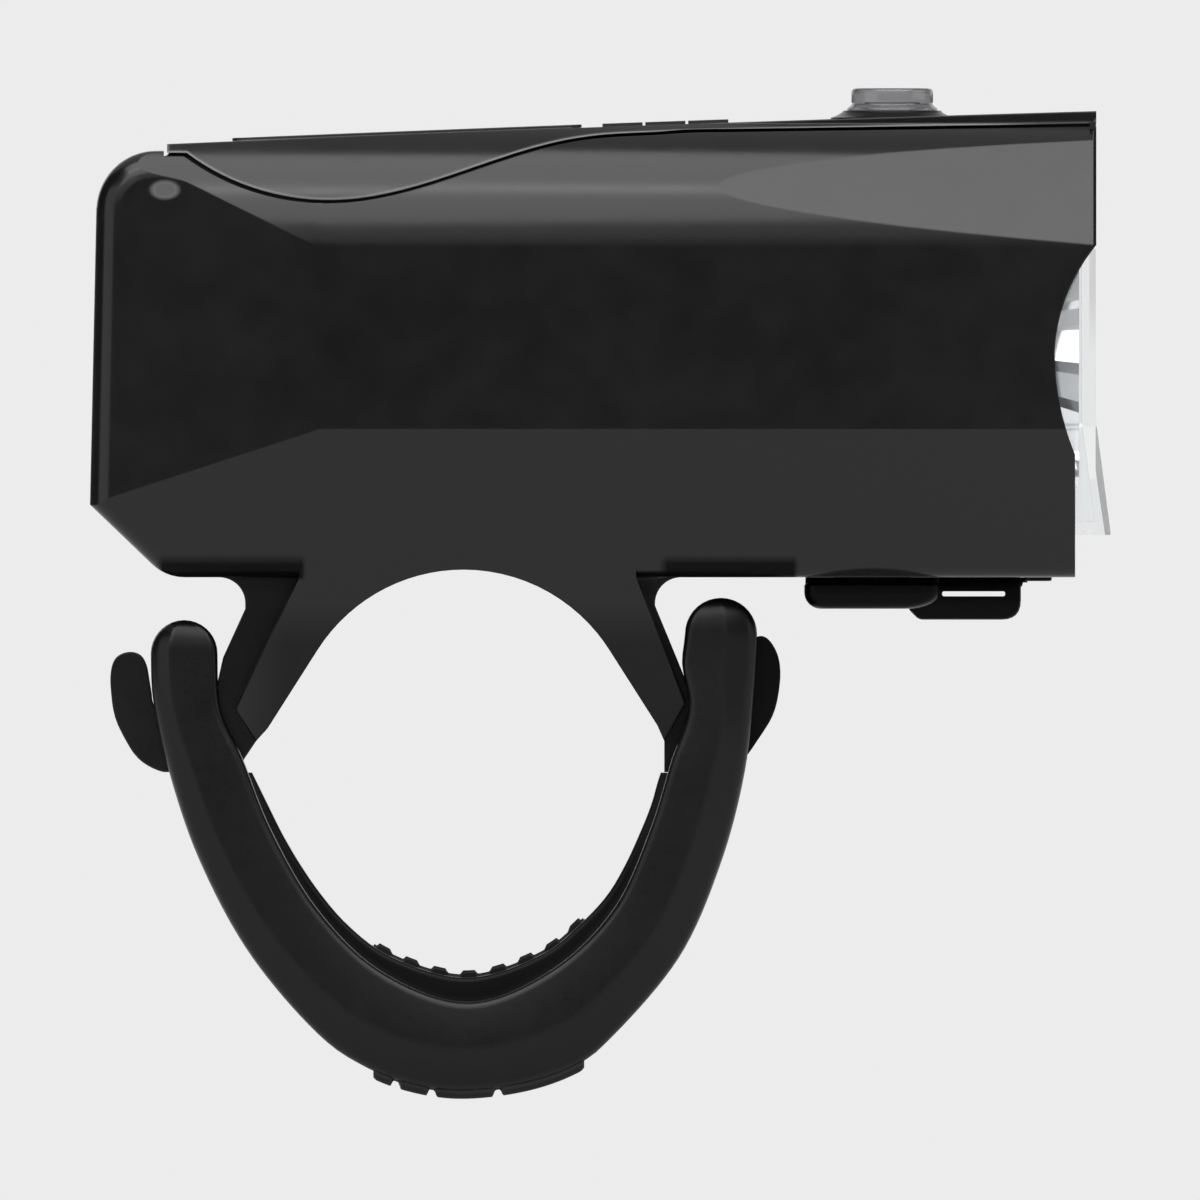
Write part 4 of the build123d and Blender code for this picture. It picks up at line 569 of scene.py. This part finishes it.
def buildRail(bm, side):
    s = strap
    outer = smoothLine(strapPoints(s["outer"]), s["railStations"], (0, 0, -1), (0, 0, 1))
    inner = smoothLine(strapPoints(s["railInner"]), s["railStations"], (0, 0, -1), (0, 0, 1))
    depth = s["railOut"] - s["railIn"]

    def ring(out, into, place, pinch=1.0, lift=Vector()):
        across = into - out
        half = across.length / 2 * pinch
        across.normalize()
        middle = (out + into) / 2 + lift
        flat = depth * (s["tipDepth"] + (1 - s["tipDepth"]) * pinch ** s["tipPower"])
        low = s["railIn"] + (depth - flat) / 2
        top = low + flat
        ridge = s["ridgeRear"] + (s["ridgeFront"] - s["ridgeRear"]) * place
        belly = math.sin(math.pi * place) ** s["bellyPower"]
        corners = [
            (-half, low), (-half, top - s["outerDrop"] * pinch), (-half + 2 * half * ridge, top),
            (half, top - s["innerDrop"] * pinch), (half, low),
        ]
        crease = s["crease"] + s["bellyCrease"] * belly
        radii = [s["footRadius"], s["outerRadius"], crease, s["innerRadius"], s["footRadius"]]
        outline = softened(corners, [radius * pinch for radius in radii], 5)
        return [middle + across * a + Vector((0, side * y, 0)) for a, y in outline]

    def tip(out, into, place, n):
        turn = math.radians(s["capTurn"]) * n / s["capSteps"]
        lift = Vector((0, 0, (into - out).length / 2 * math.sin(turn)))
        return ring(out, into, place, math.cos(turn), lift)

    last = len(outer) - 1
    rings = [tip(outer[0], inner[0], 0, n) for n in range(s["capSteps"], 0, -1)]
    rings += [ring(o, i, n / last) for n, (o, i) in enumerate(zip(outer, inner))]
    rings += [tip(outer[-1], inner[-1], 1, n) for n in range(1, s["capSteps"] + 1)]
    skin(bm, rings)


# A layer that follows the strap between two lines, from -half to half across, its long edges rounded
def buildLayer(bm, outer, inner, half, radius):
    rings = []
    for out, into in zip(outer, inner):
        across = into - out
        span = across.length / 2
        across.normalize()
        middle = (out + into) / 2
        outline = softened([(-span, -half), (-span, half), (span, half), (span, -half)], radius, 3)
        rings.append([middle + across * a + Vector((0, y, 0)) for a, y in outline])
    skin(bm, rings)


def lineBetween(points, rearX, frontX, count):
    dense = smoothLine(points, strap["fineSteps"], (0, 0, -1), (0, 0, 1))
    return evenly([p for p in dense if rearX <= p.x <= frontX], count)


def buildWeb(bm):
    s = strap
    inner = smoothLine(strapPoints(s["webInner"]), s["webStations"], (0.5, 0, -1), (0.5, 0, 1))
    dense = smoothLine(strapPoints(s["outer"], s["webSpread"]), s["fineSteps"], (0, 0, -1), (0, 0, 1))
    outer = evenly([p for p in dense if p.z <= inner[0].z], s["webStations"])
    buildLayer(bm, outer, inner, s["webHalf"], s["webRadius"])


# Pull pad under the belly: ends cut square, grooves across
def buildPad(bm):
    s = strap
    rear, front = s["padRear"], s["padFront"]
    line = lineBetween(strapPoints(s["outer"], s["padSpread"]), rear, front, s["padStations"])
    core = [p + Vector((0, 0, s["padThick"])) for p in line]
    shaped = []
    for p in line:
        bite = 0.0
        for share in s["grooves"]:
            gap = abs(p.x - (rear + share * (front - rear))) - s["grooveWidth"] / 2
            bite = max(bite, min(max(s["grooveSlope"] / 2 - gap, 0) / s["grooveSlope"], 1))
        end = min(p.x - rear, front - p.x)
        bite = max(bite, s["padEnd"] * max(0, 1 - end / s["padEnd"]))
        shaped.append(p + Vector((0, 0, s["grooveDepth"] * bite)))
    buildLayer(bm, shaped, core, s["padHalf"], s["padRadius"])


# Grip pad inside, ribs along the handlebar
def buildGrip(bm):
    s = strap
    points = strapPoints(s["webInner"], s["gripSpread"])
    line = lineBetween(points, s["padRear"], s["padFront"], s["gripStations"])
    base = [p - Vector((0, 0, s["gripThick"])) for p in line]
    ribbed = []
    for n, p in enumerate(line):
        place = (n / (len(line) - 1) * s["gripRibs"]) % 1
        rise = min(max((s["ribHalfShare"] - abs(place - 0.5)) / s["ribSlopeShare"], 0), 1)
        fall = s["gripEnd"] if min(n, len(line) - 1 - n) < 2 else 0
        ribbed.append(p + Vector((0, 0, s["ribProud"] * rise - fall)))
    buildLayer(bm, base, ribbed, s["gripHalf"], s["gripRadius"])


def circle(x, z, radius, sides):
    turns = [2 * math.pi * n / sides for n in range(sides)]
    return [(x + radius * math.cos(turn), z + radius * math.sin(turn)) for turn in turns]


def buildBars(bm):
    s = strap
    for barX, barZ in s["bars"]:
        rings = []
        for n in range(s["barStations"] + 1):
            y = s["barHalf"] * (2 * n / s["barStations"] - 1)
            waist = s["barRadius"] - s["barWaist"] * math.cos(math.pi * y / (2 * s["barHalf"])) ** 2
            rings.append([Vector((x, y, z)) for x, z in circle(barX, barZ, waist, s["barSides"])])
        skin(bm, rings)


def buildStrap():
    bm = bmesh.new()
    for side in (1, -1):
        buildRail(bm, side)
    buildWeb(bm)
    buildPad(bm)
    buildGrip(bm)
    buildBars(bm)
    piece = newPiece("strap", bm, "strap_rubber")
    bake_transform(piece)
    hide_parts("strap_rear_loop", "strap_belly", "strap_front_loop")


# Round things, turned about a vertical line at x from a closed profile of radius and height
def turned(bm, x, profile, steps=72):
    rings = []
    for m in range(steps):
        turn = 2 * math.pi * m / steps
        rings.append([Vector((x + r * math.cos(turn), r * math.sin(turn), z)) for r, z in profile])
    skin(bm, rings, closedEnds=False, looped=True)


# Button: profiles are radius and height, each corner with its rounding
button = {
    "x": 39.5, "axisRadius": 0.001, "mergeGap": 0.002,
    # A shell with a shallow dish on top, over a solid stem with a flange
    "cap": (
        ((0, 60.1), 0), ((2.0625, 60.15), 0.6), ((3.0, 60.26), 0.3), ((3.75, 60.26), 0.42),
        ((3.75, 58.9), 0.04), ((2.5, 58.9), 0.1), ((2.5, 55.49), 0.05), ((3.3, 55.49), 0.05),
        ((3.3, 54.89), 0.05), ((2.5, 54.89), 0.1), ((2.5, 53.59), 0.1), ((0, 53.59), 0),
    ),
    # A low cone with a rolled lip, its foot let into the cover
    "boot": (
        ((5.68, 56.99), 0.05), ((5.68, 57.55), 0.08), ((5.2, 57.69), 0.4), ((4.62, 58.02), 0.25),
        ((4.5, 58.2), 0.1), ((4.24, 58.2), 0.1), ((3.9, 58.05), 0.2), ((3.5, 57.6), 0.2),
        ((2.62, 57.3), 0.1), ((2.62, 56.99), 0.05),
    ),
    # The thin translucent skirt between the boot and the cap
    "collar": (
        ((4.22, 58.16), 0.08), ((4.16, 58.42), 0.2), ((3.8, 58.7), 0.15), ((3.7, 58.88), 0.03),
        ((2.75, 58.88), 0.1), ((3.1, 58.62), 0.2), ((3.75, 58.3), 0.2), ((3.86, 58.08), 0.05),
    ),
}


def turnedPart(part, steps):
    bm = bmesh.new()
    corners = [corner for corner, _ in button[part]]
    outline = softened(corners, [radius for _, radius in button[part]], steps)
    turned(bm, button["x"], [(max(p.x, button["axisRadius"]), p.y) for p in outline])
    return bm


def buildButton():
    bm = turnedPart("cap", 5)
    bmesh.ops.remove_doubles(bm, verts=bm.verts, dist=button["mergeGap"])
    cap = newPiece("power_button_cap", bm, "smoked_plastic", "button")
    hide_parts("power_button")
    boot = newPiece("button_boot_cone", turnedPart("boot", 4), "soft_rubber", "light")
    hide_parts("button_boot")
    collar = newPiece("button_collar", turnedPart("collar", 4), "smoked_plastic")
    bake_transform(collar)


# Port cover: pull pad with its plug, and the loop in front of it
port = {
    "padRear": 31.4, "padFront": 43.9, "padHalf": 9.6, "padTop": 14.7, "padLow": 12.3, "corner": 1.8,
    "edge": 1.5, "edgeSteps": 9, "frontTurn": 2.1, "cornerTurn": 0.4, "topDrop": 0.25, "topInset": 0.2,
    "socketX": 37.7, "plugLength": 6.9, "plugWidth": 12.7, "plugEndGap": 0.02,
    "plugLevels": ((14.4, 0), (15.65, 0), (15.93, 0.08), (16.05, 0.35)),
    "loopRear": 41.0, "loopFront": 51.35, "loopHalf": 3.4, "loopTop": 14.9, "loopLow": 11.3,
    "chamfer": 0.95, "loopRadii": (0.2, 0.3, 0.4, 1.9, 0.25),
    "loopEdge": 0.35, "loopStep": 0.1, "loopEase": 0.35,
    "slotRear": 44.1, "slotFront": 49.9, "slotZ": 13.68, "slotHalf": 0.225, "slotRadius": 0.2,
    # Each bead: rear, front, half width, foot; they stop just short of the body
    "beads": ((31.5, 34.6, 6.4, 14.7), (40.8, 43.85, 6.4, 14.7), (43.5, 51.3, 2.7, 14.9)),
    "beadTop": 15.198, "beadEase": 0.04, "beadInset": 0.03, "beadCorner": 0.4, "beadFoot": 0.2,
    "ribStart": 46.9, "ribPitch": 0.42, "ribCount": 3, "ribLength": 2.89, "ribCorner": 0.04,
    "ribLevels": ((-0.1, 0.11), (0.1, 0.11), (0.16, 0.06)),
}


# A level rounded rectangle
def plateRing(rear, front, half, radius, z, steps=6):
    corners = [(rear, -half), (front, -half), (front, half), (rear, half)]
    return [Vector((p.x, p.y, z)) for p in softened(corners, radius, steps)]


# Crowned under, edges rolled, the front edge turned up further
def buildPullPad(bm):
    p = port
    rear, front, half, corner = p["padRear"], p["padFront"], p["padHalf"], p["corner"]
    rings = []
    for n in range(p["edgeSteps"] + 1):
        turn = math.radians(90 * n / p["edgeSteps"])
        inset = p["edge"] * (1 - math.sin(turn))
        z = p["padLow"] + p["edge"] * (1 - math.cos(turn))
        radius = corner - inset * p["cornerTurn"]
        rings.append(plateRing(rear + inset, front - inset * p["frontTurn"], half - inset, radius, z))
    rings.append(plateRing(rear, front, half, corner, p["padTop"] - p["topDrop"]))
    inset = p["topInset"]
    rings.append(plateRing(rear + inset, front - inset, half - inset, corner, p["padTop"]))
    skin(bm, rings)


# The plug fills the socket's pocket
def buildPlug(bm):
    p = port
    halfX, halfY = p["plugLength"] / 2, p["plugWidth"] / 2
    rings = []
    for z, inset in p["plugLevels"]:
        rear, front = p["socketX"] - halfX + inset, p["socketX"] + halfX - inset
        rings.append(plateRing(rear, front, halfY - inset, halfX - p["plugEndGap"] - inset, z, 10))
    skin(bm, rings)


def wall(bm, near, far):
    for i in range(len(near)):
        j = (i + 1) % len(near)
        bm.faces.new((near[i], near[j], far[j], far[i]))


# A side outline with its slot, given width and soft long edges
def buildLoop(bm):
    p = port
    top, low, cut = p["loopTop"], p["loopLow"], p["chamfer"]
    corners = [(p["loopRear"], top), (p["loopRear"], low + cut), (p["loopRear"] + cut, low),
               (p["loopFront"], low), (p["loopFront"], top)]
    outline = softened(corners, p["loopRadii"], 6)
    slotTop, slotLow = p["slotZ"] + p["slotHalf"], p["slotZ"] - p["slotHalf"]
    corners = [(p["slotRear"], slotTop), (p["slotRear"], slotLow),
               (p["slotFront"], slotLow), (p["slotFront"], slotTop)]
    slot = softened(corners, p["slotRadius"], 4)
    centre = Vector(((p["loopRear"] + p["loopFront"]) / 2, (top + low) / 2))
    half, edge, step = p["loopHalf"], p["loopEdge"], p["loopStep"]
    eased = edge * p["loopEase"]

    def drawnIn(value, middle, inset):
        return value + math.copysign(min(inset, abs(middle - value)), middle - value)

    levels = [(-half, edge), (-half + step, eased), (-half + edge, 0),
              (half - edge, 0), (half - step, eased), (half, edge)]
    outside, hole = [], []
    for y, inset in levels:
        outside.append([bm.verts.new((drawnIn(q.x, centre.x, inset), y, drawnIn(q.y, centre.y, inset)))
                        for q in outline])
        hole.append([bm.verts.new((q.x, y, q.y)) for q in slot])
    for rows in (outside, hole):
        for near, far in zip(rows, rows[1:]):
            wall(bm, near, far)
    for row in (0, -1):
        rim = []
        for line in (outside[row], hole[row]):
            rim += [bm.edges.get((a, b)) for a, b in zip(line, line[1:] + line[:1])]
        bmesh.ops.triangle_fill(bm, use_beauty=True, edges=rim)


# Sealing beads that close the gap to the body, and three small ribs on the loop's back
def buildBeads(bm):
    p = port
    top = p["beadTop"]
    for rear, front, half, foot in p["beads"]:
        levels = ((foot - p["beadFoot"], 0), (top - p["beadEase"], 0), (top, p["beadInset"]))
        skin(bm, [plateRing(rear + i, front - i, half - i, p["beadCorner"], z, 3) for z, i in levels])
    for n in range(p["ribCount"]):
        x = p["ribStart"] + p["ribPitch"] * n
        skin(bm, [plateRing(x - half, x + half, p["ribLength"] + half, p["ribCorner"], p["loopTop"] + rise, 2)
                  for rise, half in p["ribLevels"]])


def buildPortCover():
    bm = bmesh.new()
    buildPullPad(bm)
    buildPlug(bm)
    buildLoop(bm)
    buildBeads(bm)
    flap = newPiece("port_cover_pad", bm, "flap_rubber", "flap")
    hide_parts("port_cover")


# Fixed plate ahead of the loop, with the stem that holds it
anchor = {
    "rear": 51.6, "front": 54.2, "half": 4.2, "corner": 0.6,
    "levels": ((14.85, 0.16), (14.91, 0.04), (15.01, 0), (15.33, 0)),
    "stemLevels": ((15.23, 1.28), (15.95, 1.28), (16.08, 1.15)), "stemSides": 24,
}


def buildAnchor():
    p = anchor
    bm = bmesh.new()
    rear, front, half = p["rear"], p["front"], p["half"]
    skin(bm, [plateRing(rear + i, front - i, half - i, p["corner"], z) for z, i in p["levels"]])
    stemX = (rear + front) / 2
    skin(bm, [[Vector((x, y, z)) for x, y in circle(stemX, 0, radius, p["stemSides"])]
              for z, radius in p["stemLevels"]])
    plate = newPiece("port_cover_plate", bm, "flap_rubber", "light")
    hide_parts("port_cover_anchor")


# Living hinge between loop and plate, thinner towards the plate
hingeStrip = {
    "rear": 50.75, "front": 51.95, "steps": 12, "thickSteps": 8, "lowThick": 14.35, "lowThin": 14.72,
    "middle": 14.85, "top": 15.19, "half": 2.9, "middleHalf": 3.0,
}


def buildHingeStrip():
    p = hingeStrip
    bm = bmesh.new()
    half, wide, middle, top = p["half"], p["middleHalf"], p["middle"], p["top"]
    rings = []
    for n in range(p["steps"] + 1):
        x = p["rear"] + (p["front"] - p["rear"]) * n / p["steps"]
        low = p["lowThick"] if n < p["thickSteps"] else p["lowThin"]
        corners = ((-half, low), (half, low), (wide, middle), (half, top), (-half, top), (-wide, middle))
        rings.append([Vector((x, y, z)) for y, z in corners])
    skin(bm, rings)
    hinge = newPiece("port_cover_hinge_strip", bm, "flap_rubber")
    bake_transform(hinge)


# End of the cover's seal, seen in the seam at the front edge
sealEnd = {"half": 12.9, "low": 56.45, "top": 57.14, "stations": (57.7, 57.9, 58.1, 58.27)}


def buildSealEnd():
    p = sealEnd
    bm = bmesh.new()
    corners = ((-p["half"], p["low"]), (p["half"], p["low"]), (p["half"], p["top"]), (-p["half"], p["top"]))
    skin(bm, [[Vector((x, y, z)) for y, z in corners] for x in p["stations"]])
    newPiece("cover_seal_end", bm, "seal_rubber", "light")


# Forward rim of the reflector: flat facets that show through the lens in both cheeks.
# Each column is X and how far the rows fan out there; each row is its lower edge and its lean
facets = {
    "beamZ": 36.87, "half": 16.35, "thick": 0.35, "sharpAngle": 3,
    "columns": ((53.45, 0.8), (54.7, 0.9), (56.7, 1.0)),
    "rows": (
        (47.4, 0), (44.25, -3), (43.7, 8), (43.2, -14), (40.75, 1), (40.0, 8), (38.45, -6), (38.0, 2),
        (34.95, 16), (33.85, -12), (31.35, -4), (30.35, -15), (26.0, 5), (23.5, 10),
    ),
}


def facetProfile():
    profile, inset = [], 0.0
    rows = facets["rows"]
    for (top, _), (low, lean) in zip(rows, rows[1:]):
        profile.append((top, inset))
        inset -= (top - low) * math.tan(math.radians(lean))
    profile.append((rows[-1][0], inset))
    outermost = min(depth for _, depth in profile)
    return [(z, depth - outermost) for z, depth in profile]


def strip(bm, near, far):
    for i in range(len(near) - 1):
        bm.faces.new((near[i], near[i + 1], far[i + 1], far[i]))


def buildFacets():
    p = facets
    bm = bmesh.new()
    profile = facetProfile()
    for side in (1, -1):
        layers = []
        for layer in (0, p["thick"]):
            columns = []
            for x, spread in p["columns"]:
                spots = [(x, side * (p["half"] - layer - depth), p["beamZ"] + (z - p["beamZ"]) * spread)
                         for z, depth in profile]
                columns.append([bm.verts.new(spot) for spot in spots])
            layers.append(columns)
        outside, inside = layers
        for layer in layers:
            for near, far in zip(layer, layer[1:]):
                strip(bm, near, far)
        for end in (0, -1):
            strip(bm, outside[end], inside[end])
            strip(bm, [column[end] for column in outside], [column[end] for column in inside])
    newPiece("reflector_facets", bm, "bright_coating", "light", p["sharpAngle"])


print("facets")
buildFacets()
print("seal")
buildSealEnd()
print("strap")
buildStrap()
print("button")
buildButton()
print("port cover")
buildPortCover()
buildAnchor()
buildHingeStrip()

# Studio: pale floor and world, three panels above the near side, weaker ones round the back
studio = {
    "pale": (0.84, 0.84, 0.84), "paleLow": 0.985, "bounce": 0.58, "ambient": 0.3, "mirror": 0.06,
    "floorZ": -0.0392, "floorSize": 3.0,
    "lookX": 0.01258, "lookZ": 0.01311, "frameWidth": 0.11054, "cameraY": -0.6, "clip": (0.01, 10),
    # Each panel: name, way from the object, size, power
    "panels": (
        ("keyHigh", (0, -0.31, 0.91), (1.7, 0.72), 3.1),
        ("keyMiddle", (0, -0.72, 0.62), (1.7, 0.55), 2.7),
        ("keyLow", (0, -0.95, 0.28), (1.7, 0.3), 0.8),
        ("overTop", (0, 0.5, 0.85), (1.7, 0.9), 0.4),
        ("farFill", (0.1, 1.0, 0.3), (1.6, 0.5), 1.0),
        ("frontFill", (1.0, -0.1, 0.35), (0.9, 0.7), 0.9),
        ("rearFill", (-0.95, -0.45, 0.15), (0.85, 0.7), 0.9),
    ),
    "hiddenThroughLens": ("farFill", "frontFill"),
}


# The floor shows pale, but throws less light up on the object than it shows
def buildFloor():
    s = studio
    half = s["floorSize"] / 2
    bm = bmesh.new()
    corners = ((-half, -half), (half, -half), (half, half), (-half, half))
    bm.faces.new([bm.verts.new((x, y, s["floorZ"])) for x, y in corners])
    mesh = bpy.data.meshes.new("floor")
    bm.to_mesh(mesh)
    bm.free()
    inScene("floor", mesh)
    f = Finish("PaleFloor")
    cloud = f.grain(3, 3)
    seen = f.put("LightPath", out="Is Camera Ray") + f.put("LightPath", out="Is Transmission Ray")
    bounced = tuple(s["bounce"] * c for c in s["pale"])
    shown = f.mixed(cloud, tuple(s["paleLow"] * c for c in s["pale"]), s["pale"])
    color = f.mixed(seen.capped(), bounced, shown)
    mesh.materials.append(f.shade(color=color, rough=0.9, specular=0.1))


# The world is full pale to the camera and through the lens, weak in reflections and as light
def buildWorld():
    s = studio
    world = bpy.data.worlds.new("StudioWorld")
    bpy.context.scene.world = world
    f = Finish("StudioWorld", world)
    seen, glossy, through = (f.put("LightPath", out=f"Is {ray} Ray")
                             for ray in ("Camera", "Glossy", "Transmission"))
    direct = (seen + through).capped()
    reflected = glossy * (1 - direct)
    power = direct + reflected * s["mirror"] + (1 - (direct + reflected).capped()) * s["ambient"]
    f.surfaceTo(f.put("Background", sockets={"Color": (*s["pale"], 1), "Strength": power}))


def buildLamps():
    s = studio
    aim = Vector((s["lookX"], 0, s["lookZ"]))
    for name, place, (wide, tall), power in s["panels"]:
        lamp = bpy.data.lights.new(name, "AREA")
        lamp.shape = "RECTANGLE"
        lamp.size = wide
        lamp.size_y = tall
        lamp.energy = power * math.pi * wide * tall
        panel = inScene(name, lamp)
        panel.location = aim + Vector(place)
        panel.visible_transmission = name not in s["hiddenThroughLens"]
        panel.rotation_mode = "QUATERNION"
        panel.rotation_quaternion = (-Vector(place)).to_track_quat("-Z", "Y")


def buildCamera():
    s = studio
    camera = inScene("camera", bpy.data.cameras.new("camera"))
    camera.data.type = "ORTHO"
    camera.data.ortho_scale = s["frameWidth"]
    camera.data.clip_start, camera.data.clip_end = s["clip"]
    camera.location = (s["lookX"], s["cameraY"], s["lookZ"])
    camera.rotation_euler = (math.radians(90), 0, 0)
    bpy.context.scene.camera = camera
    bpy.context.scene.view_settings.view_transform = "Standard"


print("studio")
buildFloor()
buildWorld()
buildLamps()
buildCamera()
